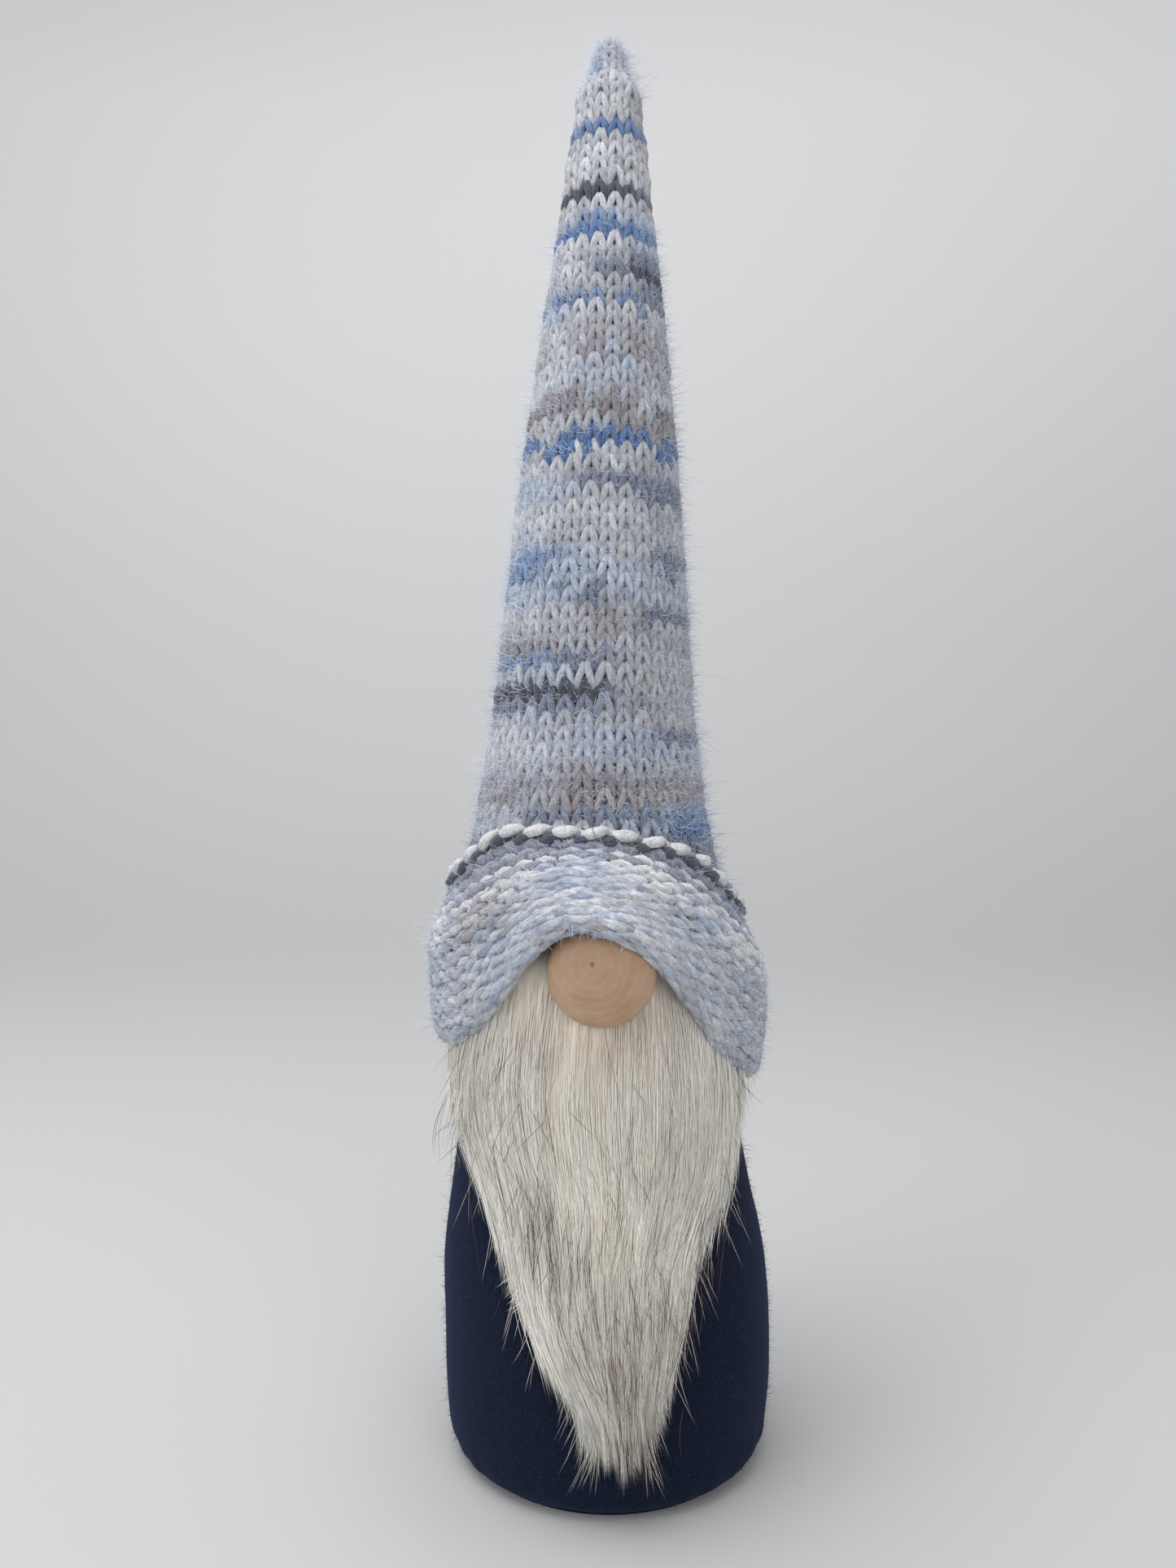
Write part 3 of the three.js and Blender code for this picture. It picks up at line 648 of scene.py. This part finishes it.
def hat_liner():
    """The dense inner face of the knitting, which shows between the loops; its dark grey-blue is painted shade for the
    gaps.
    """
    bm = bmesh.new()
    bmesh.ops.create_grid(bm, x_segments=72, y_segments=64, size=0.5)
    for corner in bm.verts:
        angle, share = corner.co.x * 2 * math.pi, corner.co.y + 0.5
        h = CUFF_LOW + 3.65 + share * (TOP - 5 - CUFF_LOW - 3.65)
        corner.co = Vector(on_hat(angle, h, -1.9 * min(1.0, float(hat_radius(h)) / 6))) * MM
    made = from_bmesh("hat_inner_face_painted_shade", bm)
    wall = made.modifiers.new("wall", "SOLIDIFY")
    wall.thickness, wall.offset = 0.8 * MM, -1
    cloth = Finish("knit_gap_painted_shade", 0.98, Sheen_Weight=0.2)
    # Dark grey-blue, darker than the yarn itself: painted shade for the gaps between the loops.
    cloth.colour(cloth.ramp(cloth.noise(260, 3), (0.35, tint(52, 55, 66)), (0.7, tint(112, 116, 128))))
    return dress(made, cloth.material, "hat")


# ---------- body ----------

def navy_cloth():
    cloth = Finish("navy_cotton", 0.97, Sheen_Weight=0.13, Sheen_Roughness=0.5, Sheen_Tint=tint(132, 152, 206),
                   Specular_IOR_Level=0.08)
    weave = cloth.noise(2400, 2, 0.5, place=cloth.stretch(1, 1, 0.5))
    lint = cloth.noise(420, 5, 0.75)
    base = cloth.ramp(weave, (0.3, tint(12, 16, 28)), (0.72, tint(25, 33, 54)))
    cloth.colour(cloth.mix(cloth.ramp(lint, (0.6, 0.0), (0.82, 0.4)), base, tint(48, 58, 86)))
    return cloth.bump(weave, 0.35, 0.0004).material


def puff(obj, cap, pinned):
    """Blows a stuffed form out as cloth over its filling, no point by more than cap mm."""
    before = np.array([v.co for v in obj.data.vertices])
    held = obj.vertex_groups.new(name="held")
    held.add([i for i, co in enumerate(before) if pinned(*(co / MM))], 1.0, "REPLACE")
    cloth = obj.modifiers.new("cloth", "CLOTH")
    cloth.settings.use_pressure, cloth.settings.uniform_pressure_force = True, 4.0
    cloth.settings.quality, cloth.settings.vertex_group_mass = 5, "held"
    cloth.settings.effector_weights.gravity = 0
    cloth.collision_settings.use_collision = False
    for step in range(1, 21):
        bpy.context.scene.frame_set(step)
    grown = obj.evaluated_get(bpy.context.evaluated_depsgraph_get())
    after = np.array([v.co for v in grown.data.vertices])
    obj.modifiers.remove(cloth)
    bpy.context.scene.frame_set(1)
    shift = after - before
    far = np.linalg.norm(shift, axis=1, keepdims=True)
    shift *= np.minimum(1, cap * MM / np.maximum(far, 1e-9))
    obj.data.vertices.foreach_set("co", (before + shift).astype(np.float32).ravel())
    obj.data.update()


def remeshed(obj, size):
    net = obj.modifiers.new("net", "REMESH")
    net.mode, net.voxel_size, net.use_smooth_shade = "VOXEL", size * MM, True
    mesh = bpy.data.meshes.new_from_object(obj.evaluated_get(bpy.context.evaluated_depsgraph_get()))
    obj.modifiers.clear()
    obj.data = mesh
    for polygon in mesh.polygons:
        polygon.use_smooth = True


def sculpt(obj, place):
    for corner in obj.data.vertices:
        corner.co = Vector(place(*(corner.co / MM))) * MM
    obj.data.update()


def make_body():
    """The sewn sleeve: stuffed, drawn in at the neck, with a flat foot and a seam up the back."""
    heights = [0.0, 1.6, 3.2, 6, 10, 16, 24, 34, 44, 54, 64, 74, 84, 94, 104, 114, 124, 132, 140, 148, 156, 163,
               169, 174, 177.5, 179.6]
    outline = [(0, 2.0), (30, 1.9), (39.9, 1.8), (40.2, 0.3)]
    outline += [(float(body_radius(z)) - 0.35, max(z, 0.1)) for z in heights]
    outline += [(5.3, 182), (6.5, 184), (8.2, 187), (8.8, 189), (6.5, 188.2), (3, 186), (0, 184.5)]
    bm = spun(outline, 72)
    move(bm, lambda x, y, z: (x + centre_line(z)[0], y + centre_line(z)[1], z))
    made = from_bmesh("body_cloth", bm)
    remeshed(made, 3.6)
    puff(made, 1.3, lambda x, y, z: z < 2.6 or z > 172)

    def settle(x, y, z):
        if z < 2.6:
            return x, y, max(z, 0.0)
        shift = centre_line(z)
        angle, r = math.atan2(x - shift[0], -(y - shift[1])), math.hypot(x - shift[0], y - shift[1])
        gather = float(smooth(z, 166, 180))
        r *= 1 + 0.17 * gather * math.sin(angle * 15 + math.sin(angle * 3)) * min(1, r / 5)
        pucker = math.exp(-((z - 7) / 5) ** 2) * (0.4 * math.sin(angle * 31) + 0.35 * math.sin(angle * 19 + 2))
        slack = 0.55 * noise.noise(Vector((x * 0.035, y * 0.035, z * 0.045))) * float(smooth(z, 4, 14))
        behind = abs((angle % (2 * math.pi)) - math.pi) * r
        seam = -0.9 * math.exp(-(behind / 1.7) ** 2) + 0.35 * math.exp(-((behind - 4) / 2.2) ** 2)
        r = r + 0.25 * pucker + slack + seam * (1 - gather)
        return shift[0] + r * math.sin(angle), shift[1] - r * math.cos(angle), z

    finer = made.modifiers.new("round", "SUBSURF")
    finer.levels = finer.render_levels = 1
    mesh = bpy.data.meshes.new_from_object(made.evaluated_get(bpy.context.evaluated_depsgraph_get()))
    made.modifiers.clear()
    made.data = mesh
    sculpt(made, settle)
    for polygon in mesh.polygons:
        polygon.use_smooth = True
    return made


def body_fuzz(body):
    """Short nap that stands off the navy cloth."""
    draw = np.random.default_rng(5)
    cloth = BVHTree.FromObject(body, bpy.context.evaluated_depsgraph_get())
    t = np.array([0, 0.15, 0.6, 1.0])[:, None]
    paths, tints = [], []
    for _ in range(16000):
        angle, z = draw.uniform(-math.pi, math.pi), draw.uniform(1.5, 150)
        out = Vector((math.sin(angle), -math.cos(angle), 0.0))
        shift = centre_line(z)
        root = cloth.ray_cast(Vector((shift[0], shift[1], z)) * MM + out * 0.2, -out)[0]
        way = draw.normal(0, 0.7, 3) + np.array(out)
        curl = draw.normal(0, 0.5, 3)
        length = draw.gamma(2.2, 0.2) + 0.3
        if root is None:
            continue
        root = np.array(root) / MM - 0.1 * np.array(out)
        paths.append(np.c_[root + way * t * length + curl * t ** 2 * length, [0, 0.035, 0.03, 0]])
        tints.append(np.tile(np.array(tint(48, 62, 100)[:3]) * draw.uniform(0.5, 1.5), (4, 1)))
    return strands("body_nap", paths, 3, False, tints)


def back_seam():
    """Hand stitches along the sleeve's back seam."""
    stitches = []
    for z in np.arange(6, 165, 4.2):
        ends = np.array([z, z + 0.5, z + 1.2, z + 1.9, z + 2.4])
        spots = on_body(math.pi + 0.0 * ends, ends, np.array([-1.0, -0.45, -0.3, -0.45, -1.0]))
        stitches.append(np.c_[spots, [0, 0.26, 0.28, 0.26, 0]])
    return strands("back_seam_stitches", stitches, 6, False)


def foot():
    """The flat base panel, slightly crowned inwards where its edge is sewn."""
    bm = spun([(0, 0.45), (20, 0.4), (34, 0.2), (38.5, 0.0), (39.6, 0.1), (39.9, 0.6), (39.6, 1.1), (38, 1.2), (0, 1.2)], 72)
    return from_bmesh("base_panel_cloth", bm)


# ---------- nose ----------

def birch_wood():
    wood = Finish("birch", 0.5, Specular_IOR_Level=0.35)
    centre = wood.stretch(1, 1, 1, (0.0045, 0, -0.1441))
    rings = wood.node("ShaderNodeTexWave", {
        "Vector": centre, "Scale": 150, "Distortion": 9.0, "Detail": 3, "Detail Scale": 0.25},
        wave_type="RINGS", rings_direction="Y").outputs["Fac"]
    cloudy = wood.noise(120, 4, 0.6)
    pores = wood.noise(1500, 3, 0.6)
    # The base colours are kept darker than bare birch: partly the wood's own tone, partly painted shade for the cuff's
    # shadow over the nose.
    base = wood.ramp(cloudy, (0.3, tint(168, 137, 111)), (0.7, tint(186, 156, 130)))
    ringed = wood.mix(wood.ramp(rings, (0.7, 0.0), (1.0, 0.09)), base, tint(222, 192, 164))
    deep = wood.node("ShaderNodeSeparateXYZ", {0: centre}).outputs
    off = wood.math("SQRT", wood.math("ADD", wood.math("MULTIPLY", deep["X"], deep["X"]),
                                      wood.math("MULTIPLY", deep["Z"], deep["Z"])))
    heart = wood.math("ADD", off, wood.math("MULTIPLY", wood.noise(700, 3, 0.7), 0.0016))
    ringed = wood.mix(wood.ramp(wood.math("MULTIPLY", heart, 400), (0.42, 0.75), (0.62, 0.0)), ringed, tint(120, 84, 60))
    # The front is darker in its middle and reaches full colour towards the rim.
    middle_darkened = wood.mix(1.0, ringed, wood.ramp(wood.math("MULTIPLY", off, 60), (0.2, (0.86, 0.85, 0.84, 1)), (0.75, (1, 1, 1, 1))),
                    "MULTIPLY")
    wood.colour(wood.mix(wood.ramp(pores, (0.55, 0.0), (0.75, 0.25)), middle_darkened, tint(138, 108, 86)))
    return wood.bump(pores, 0.12, 0.0003).material


def make_nose():
    """A turned bun: domed front, rounded rim and flat back."""
    back = -41.7
    front = back - NOSE_DEPTH
    outline = [(0, back), (8, back), (10.6, back), (11.6, back - 0.5)]
    for i in range(1, 24):
        bend = i / 24 * math.pi / 2
        outline.append((11.6 + 2.4 * math.sin(bend * 1.0) ** 0.7 if i < 8 else 0, 0))
    outline = outline[:4]
    for i in range(0, 25):
        t = i / 24
        bend = lerp(-0.55, math.pi / 2, t)
        outline.append((14.0 * math.cos(bend) ** 0.92 if bend < math.pi / 2 - 1e-6 else 0.0,
                        lerp(back - 4.2, front, max(math.sin(bend), 0)) if bend > 0 else back - 4.2 - 7.0 * math.sin(bend) * 0.9))
    bm = spun(outline, 72, (0, 1, 0))
    move(bm, lambda x, y, z: (x + NOSE_SHIFT - 3, y, z + NOSE_HEIGHT))
    return from_bmesh("wooden_nose", bm)


# ---------- beard ----------

# CREAM and CHALK are the fur's own tones; the greyer third colour is painted shade for the pile.
CREAM, PAINTED_PILE_SHADE, CHALK = (np.array(tint(*c)[:3]) for c in ((250, 243, 230), (228, 214, 196), (252, 250, 244)))

# Warm brown painted into the fur as the nose's shadow.
NOSE_SHADOW_TINT = np.array(tint(196, 168, 140)[:3])

# Height, then the fur's outline to the figure's right and left
beard_outline = through(
    (0, 0, 12), (12, -3.5, 12), (20, -4, 10.5), (33, -7.6, 11), (45, -15.2, 14.4), (55, -21.3, 18.2), (71, -27.6, 23.6),
    (83, -33.2, 30.6), (96, -40.5, 35), (110, -44, 37), (125, -42, 36), (150, -35, 30),
)


def on_beard(u, z, out):
    """The place over the body's front at share u of the fur's half width, a height and a distance out."""
    edges = beard_outline(z)
    x = lerp(edges[..., 0], edges[..., 1], (u + 1) / 2)
    shift = centre_line(z)
    reach = body_radius(z) + out
    side = (x - shift[..., 0]) / reach
    angle = np.arcsin(np.clip(side, -0.96, 0.96))
    reach = np.maximum(reach, np.abs(x - shift[..., 0]) / 0.96)
    return np.stack([x, shift[..., 1] - reach * np.cos(angle), z], -1)


def fur(name, count, lift, length, thick, seed, steps=7):
    """Straight silky pile in locks, from its roots on the backing down over the body."""
    draw = np.random.default_rng(seed)
    locks = max(8, count // 34)
    lock_u, lock_z = draw.uniform(-1, 1, locks), draw.uniform(0, 1, locks)
    lock_tone, lock_sway = draw.normal(0, 0.035, locks), draw.normal(0, 1, locks)
    lock_out, lock_run = draw.normal(0, 0.35, locks), draw.uniform(*length, locks)
    lock_stop = draw.gamma(1.8, 10, locks)
    t = np.linspace(0, 1, steps)
    t[1] *= 0.35
    paths, tints = [], []
    for _ in range(count):
        k = int(draw.integers(locks))
        u0 = float(np.clip(lock_u[k] + draw.normal(0, 0.06), -1, 1))
        z0 = lerp(148.5, 34, float(np.clip(lock_z[k] + draw.normal(0, 0.035), 0, 1)) ** 0.95)
        room = max(z0 - 9 - lock_stop[k] * (1.15 - 0.3 * lock_u[k]) - 2.5 * abs(draw.normal()), 5)
        run = min(lock_run[k] * draw.uniform(0.82, 1.06), room * draw.uniform(0.85, 1.0))
        z = z0 - run * t
        gather = 0.5 * (lock_u[k] - u0) * t ** 1.5
        stray = draw.normal(0, 0.03) * t
        u = u0 + gather + stray
        layer = draw.uniform(0.8, 1.05) * lift
        rise = np.minimum(1, 0.5 + 4 * t) * layer * (1 - 0.55 * abs(u0) ** 3)
        low = smooth(z, 4, 55)
        out = 2.4 + (rise + lock_out[k] * t) * (0.35 + 0.65 * low) + 0.8 * t * draw.normal(0, 0.5)
        out = np.maximum(out, 1.9)
        points = on_beard(u, z, out)
        splay = 1.5 * lock_sway[k] + (np.sign(u0) * min(1.1 * draw.gamma(1.2, 1.0), 2.8) if abs(u0) > 0.8 else 0.0)
        points[:, 0] += splay * t ** 2
        width = thick * np.array([0, 1, 1, 0.95, 0.8, 0.55, 0]) * (0.5 + 0.5 * smooth(z, 14, 48))
        paths.append(np.c_[points, width * draw.uniform(0.8, 1.2)])
        # Painted shade: each strand darkens towards the greyer colour at its root, deep in the pile, and towards the
        # beard's top under the nose and cuff.
        root = smooth(z, 118, 150)[:, None] * 0.3 + (1 - t[:, None]) ** 3 * 0.25
        # Painted shadow of the nose: strands in a band just under the nose are tinted warm brown.
        nose_shadow = np.exp(-((points[:, 0] + 2) / 13) ** 2) * smooth(z, 108, 124)
        tone = lerp(CREAM, CHALK, np.clip(draw.normal(0.55, 0.3) + 0.5 * abs(u0) ** 2, 0, 1))
        colour = lerp(tone, PAINTED_PILE_SHADE, root) * (1 + lock_tone[k] + draw.normal(0, 0.03))
        tints.append(np.clip(lerp(colour, NOSE_SHADOW_TINT, 0.35 * nose_shadow[:, None]), 0, 1))
    return strands(name, paths, 3, False, tints)


def guard_hairs():
    """Fine dark hairs that lie and stand among the pile."""
    draw = np.random.default_rng(41)
    t = np.linspace(0, 1, 7)
    paths, tints = [], []
    clusters = [(-0.45, 88, 0.12, 10, 34), (-0.6, 104, 0.14, 12, 22), (0.1, 56, 0.3, 14, 40), (0.5, 62, 0.25, 12, 40),
                (0.1, 92, 0.4, 18, 60), (0.35, 38, 0.45, 10, 46), (-0.2, 66, 0.35, 18, 40), (0.9, 82, 0.1, 16, 26),
                (-0.95, 96, 0.06, 9, 12), (-0.5, 74, 0.12, 10, 24)]
    for u_c, z_c, u_s, z_s, n in clusters:
        for _ in range(n):
            u0, z0 = u_c + draw.normal(0, u_s), z_c + draw.normal(0, z_s)
            run = min(draw.uniform(7, 24), z0 - 13)
            if run < 4:
                continue
            lean = float(np.clip(draw.normal(0.35 * u_c, 0.12), -0.4, 0.4))
            z = z0 - run * t
            u = u0 + lean * t + draw.normal(0, 0.04) * t ** 2
            out = 7.6 * (0.4 + 0.6 * smooth(z, 4, 55)) + abs(draw.normal(0.6, 0.6)) + 1.0 * t * draw.normal()
            points = on_beard(u, z, np.maximum(out, 2.2))
            paths.append(np.c_[points, np.array([0, 0.055, 0.062, 0.058, 0.05, 0.035, 0]) * draw.uniform(0.75, 1.25)])
            tints.append(np.tile(np.array(tint(98, 78, 56)[:3]) * draw.uniform(0.4, 1.2), (7, 1)))
    brown, cream = np.array(tint(92, 84, 76)[:3]), CREAM
    strays = ((-0.92, 92, 118, 16, 5.0, brown), (0.92, 92, 118, 12, 5.0, brown), (0.95, 48, 88, 20, 2.8, brown),
              (0.97, 44, 90, 40, 2.6, cream), (-0.95, 44, 92, 4, 2.8, brown), (-0.97, 40, 92, 16, 2.6, cream),
              (0.6, 24, 44, 22, 2.6, brown), (-0.6, 26, 46, 34, 2.6, cream), (0.7, 22, 44, 44, 2.6, cream))
    for share, low, high, n, out, colour in strays:
        side = math.copysign(1, share)
        for _ in range(n):
            z0 = draw.uniform(low, high)
            start = on_beard(np.array(share + draw.normal(0, 0.03)), np.array(z0), np.array(out))
            way = np.array([side * draw.uniform(0.02, 0.45), draw.uniform(-0.25, 0.05), -1.0])
            points = start + way * t[:, None] * min(draw.uniform(8, 18), z0 - 9)
            points[:, 0] += side * 1.5 * t ** 2 * draw.uniform(-1.2, 1.5)
            paths.append(np.c_[points, np.array([0, 0.055, 0.06, 0.055, 0.045, 0.03, 0])])
            tints.append(np.tile(colour * draw.uniform(0.8, 1.0), (7, 1)))
    return strands("beard_guard_hairs", paths, 3, False, tints)


def bends(obj):
    """The beard hangs from its glued top; this bakes the piece's placement into its mesh."""
    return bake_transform(obj)


def pile_bed():
    """The dense lower pile as one soft pad, thin at its rim and tip."""
    bm = bmesh.new()
    bmesh.ops.create_grid(bm, x_segments=44, y_segments=70, size=0.5)
    for corner in bm.verts:
        u, rise = 2 * corner.co.x, corner.co.y + 0.5
        z = lerp(36, 149, rise)
        plump = (1 - abs(u) ** 3.2) * smooth(rise, 0, 0.3) * (1 - smooth(rise, 0.93, 1.0))
        ruffle = 0.35 * noise.noise(Vector((u * 9, 2.0, z * 0.03)))
        narrow = 0.6 + 0.3 * float(smooth(z, 34, 85)) + 0.05 * noise.noise(Vector((3.0, u * 2, z * 0.09)))
        corner.co = Vector(on_beard(np.array(u * narrow), np.array(z), np.array(2.6 + (3.4 + ruffle) * plump))) * MM
    made = from_bmesh("beard_under_pile", bm)
    wall = made.modifiers.new("wall", "SOLIDIFY")
    wall.thickness, wall.offset = 0.9 * MM, -1
    return made


def fur_sheet(name, out, half, low, high, thickness):
    bm = bmesh.new()
    bmesh.ops.create_grid(bm, x_segments=30, y_segments=48, size=0.5)
    for corner in bm.verts:
        u, z = 2 * corner.co.x * half, lerp(low, high, corner.co.y + 0.5)
        corner.co = Vector(on_beard(np.array(u), np.array(z), np.array(out))) * MM
    made = from_bmesh(name, bm)
    wall = made.modifiers.new("wall", "SOLIDIFY")
    wall.thickness, wall.offset = thickness * MM, 0
    return made


def make_beard():
    hair = strand_finish("fur_pile", 0.5, Sheen_Weight=0.15, Specular_IOR_Level=0.35)
    dark = strand_finish("guard_hair", 0.45, Specular_IOR_Level=0.4)
    bed = Finish("under_pile", 0.9, Sheen_Weight=0.3)
    streaks = bed.noise(900, 3, 0.6, place=bed.stretch(1, 1, 0.06))
    bed.colour(bed.ramp(streaks, (0.3, tint(214, 206, 192)), (0.7, tint(238, 231, 219))))
    knitted = Finish("fur_backing", 0.95, Sheen_Weight=0.2)
    ribs = knitted.node("ShaderNodeTexWave", {"Vector": knitted.place, "Scale": 420, "Distortion": 1.0}).outputs["Fac"]
    knitted.colour(knitted.ramp(ribs, (0.2, tint(190, 184, 172)), (0.8, tint(222, 217, 206)))).bump(ribs, 0.3, 0.0003)
    backing = fur_sheet("beard_backing", 1.35, 0.8, 40, 150, 0.7)
    dress(backing, knitted.material, None, ["beard_backing_top", "beard_backing_flap"])
    bends(backing)
    under = pile_bed()
    dress(bends(under), bed.material, None)
    layers = [("beard_pile_inner", 6000, 3.3, (30, 52), 0.135, 21), ("beard_pile_middle", 6400, 4.0, (34, 62), 0.105, 22),
              ("beard_pile_outer", 6400, 4.4, (38, 70), 0.078, 23)]
    nodes = {"beard_pile_inner": ["beard_pile_top", "beard_pile_flap"]}
    for name, count, lift, length, thick, seed in layers:
        dress(bends(fur(name, count, lift, length, thick, seed)), hair, None, nodes.get(name, ()))
    dress(bends(guard_hairs()), dark, None)


# ---------- inside ----------

def lumpy(name, outline, steps, depth, grain, lean=True):
    """A solid of turning with the lumps of hand-packed filling."""
    bm = spun(outline, steps)

    def place(x, y, z):
        r = math.hypot(x, y)
        push = depth * noise.noise(Vector((x, y, z)) / grain) * min(1, r / 6)
        shift = centre_line(z) if lean else (0, 0)
        k = (r + push) / r if r > 0.01 else 1
        return shift[0] + x * k, shift[1] + y * k, z

    move(bm, place)
    made = from_bmesh(name, bm)
    finer = made.modifiers.new("round", "SUBSURF")
    finer.levels = finer.render_levels = 1
    return made


def wadding():
    fibre = Finish("polyester_wadding", 1.0, Sheen_Weight=0.3)
    wisps = fibre.noise(300, 6, 0.75, 1.5)
    fibre.colour(fibre.ramp(wisps, (0.3, tint(206, 207, 206)), (0.7, tint(242, 242, 240))))
    return fibre.bump(wisps, 0.8, 0.001).material


def make_inside():
    soft = wadding()
    side = [(float(body_radius(z)) - 3.4, z) for z in np.linspace(52, 158, 16)]
    lump = lumpy("body_wadding", [(0, 45.4), (24, 46), *side, (14, 165), (0, 165.6)], 48, 2.4, 16)
    dress(lump, soft, "torso", ["body_stuffing"])
    side = [(float(hat_radius(h)) - 5.6, h) for h in np.linspace(202, 372, 18)]
    cone = lumpy("hat_wadding", [(0, 195.5), (18, 196.5), *side, (3, 386), (0, 388)], 40, 1.6, 14)
    dress(cone, soft, "hat", ["hat_stuffing"])
    bag = Finish("calico_cloth", 0.95, Sheen_Weight=0.2)
    weave = bag.noise(1600, 2, 0.5)
    bag.colour(bag.ramp(weave, (0.3, tint(196, 188, 170)), (0.7, tint(226, 220, 204)))).bump(weave, 0.4, 0.0004)
    outline = [(0, 3.6), (30, 3.6), (37.4, 4.4), (38.6, 8), (38.4, 16), (36.5, 23), (30, 28.5), (18, 32), (7.5, 35),
               (4.6, 37.8), (5.6, 40), (8.5, 42.6), (5, 42.2), (0, 40)]
    pouch = lumpy("calico_pouch", outline, 64, 1.0, 9, False)
    dress(pouch, bag.material, "torso", ["ballast_pouch"])
    beads = Finish("plastic_pellets", 0.45)
    beads.colour(beads.ramp(beads.noise(90, 2), (0.35, tint(216, 216, 210)), (0.65, tint(236, 236, 232))))
    bm = bmesh.new()
    draw = random.Random(3)
    for layer in range(5):
        for ring in range(1, 9):
            for k in range(ring * 5):
                turn = 2 * math.pi * (k + 0.5 * (layer % 2)) / (ring * 5)
                r = ring * 3.9
                spot = (r * math.cos(turn), r * math.sin(turn), 8 + layer * 3.7 - max(0, r - 22) * 0.06 * layer)
                made = bmesh.ops.create_icosphere(bm, subdivisions=1, radius=1.75 * MM)["verts"]
                bmesh.ops.translate(bm, verts=made, vec=Vector([c + draw.uniform(-0.12, 0.12) for c in spot]) * MM)
    pellets = from_bmesh("ballast_pellet_heap", bm)
    dress(pellets, beads.material, "torso", ["ballast_pellets"])


def plain_finish(name, rough, dark, light, scale, bump=0.3):
    plain = Finish(name, rough)
    grain = plain.noise(scale, 4, 0.6)
    return plain.colour(plain.ramp(grain, (0.3, tint(*dark)), (0.7, tint(*light)))).bump(grain, bump, 0.0003).material


def dress_cad_nodes():
    """Finishes of the small parts that keep their turned or moulded shape."""
    thread = plain_finish("sewing_thread", 0.75, (18, 22, 38), (40, 48, 72), 2500)
    glue = plain_finish("hot_melt_glue", 0.3, (214, 204, 180), (236, 229, 210), 200, 0.15)
    finishes = {
        "base_board": plain_finish("greyboard", 0.9, (132, 124, 110), (160, 150, 134), 900),
        "base_seam": thread, "ballast_tie": thread, "nose_glue": glue, "beard_glue": glue,
        "neck_band": plain_finish("natural_rubber", 0.6, (168, 140, 96), (190, 164, 120), 400),
        "tip_gather": plain_finish("tip_yarn", 0.95, (178, 182, 192), (220, 222, 228), 1500, 0.6),
    }
    for node, finish in finishes.items():
        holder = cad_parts[node]
        holder.data.materials.clear()
        holder.data.materials.append(finish)


# ---------- studio ----------

def studio():
    bm = bmesh.new()
    line = [(-1.6, 0), (-0.5, 0), (0.2, 0), (0.75, 0.0), (1.0, 0.03), (1.2, 0.12), (1.34, 0.3), (1.4, 0.6), (1.4, 3.0)]
    corners = [bm.verts.new((-3, y, z)) for y, z in line]
    edges = [bm.edges.new(pair) for pair in zip(corners, corners[1:])]
    swept = bmesh.ops.extrude_edge_only(bm, edges=edges)
    bmesh.ops.translate(bm, vec=(6, 0, 0), verts=[v for v in swept["geom"] if isinstance(v, bmesh.types.BMVert)])
    sweep = from_bmesh("studio_sweep", bm)
    for polygon in sweep.data.polygons:
        if polygon.normal.z + (-polygon.normal.y) < 0:
            polygon.flip()
    finer = sweep.modifiers.new("round", "SUBSURF")
    finer.levels = finer.render_levels = 2
    paper = Finish("studio_paper", 0.9, Specular_IOR_Level=0.1)
    # The paper is painted darker low on the floor and lighter up the backdrop: painted shade and light for how the
    # lamps fall off across the sweep.
    height = paper.node("ShaderNodeSeparateXYZ", {0: paper.place}).outputs["Z"]
    paper.colour(paper.ramp(paper.math("MULTIPLY", height, 0.5), (0.0, tint(196, 197, 198)), (0.6, tint(244, 245, 248))))
    sweep.data.materials.append(paper.material)

    def lamp(name, place, aim, size, power, colour=(1, 1, 1)):
        light = bpy.data.lights.new(name, "AREA")
        light.shape, light.size, light.energy, light.color = "DISK", size, power, colour
        holder = bpy.data.objects.new(name, light)
        holder.location = place
        holder.rotation_euler = (Vector(aim) - Vector(place)).to_track_quat("-Z", "Y").to_euler()
        bpy.context.collection.objects.link(holder)

    lamp("softbox_above", (-0.25, -0.1, 1.25), (0, 0.05, 0.1), 1.2, 10)
    lamp("softbox_left", (-1.2, -0.9, 0.8), (0, 0, 0.2), 1.0, 7)
    lamp("softbox_front", (0.7, -1.5, 0.7), (0, 0, 0.2), 1.2, 6.5)
    world = bpy.data.worlds.new("studio_air")
    world.use_nodes = True
    world.node_tree.nodes["Background"].inputs["Color"].default_value = (1.0, 0.99, 0.98, 1)
    world.node_tree.nodes["Background"].inputs["Strength"].default_value = 0.55
    bpy.context.scene.world = world
    bpy.context.scene.view_settings.view_transform = "Standard"

    lens = bpy.data.cameras.new("camera")
    lens.lens, lens.sensor_width, lens.sensor_fit = 27.03, 36.0, "AUTO"
    lens.clip_start, lens.clip_end = 0.01, 20
    camera = bpy.data.objects.new("camera", lens)
    camera.location = (-0.0056, -0.343, 0.1885)
    camera.rotation_euler = (math.pi / 2, 0, 0)
    bpy.context.collection.objects.link(camera)
    bpy.context.scene.camera = camera


studio()
make_hat()
cuff_liner()
hat_liner()
navy = navy_cloth()
coat = make_body()
dress(coat, navy, "torso", ["body_sleeve"])
dress(foot(), navy, "torso", ["base_panel"])
nap = strand_finish("navy_nap", 0.95, Specular_IOR_Level=0.1)
dress(body_fuzz(coat), nap, "torso")
dress(back_seam(), plain_finish("seam_thread", 0.7, (24, 30, 50), (44, 54, 82), 2500), "torso")
make_beard()
dress(make_nose(), birch_wood(), "torso", ["nose_ball"])
make_inside()
dress_cad_nodes()
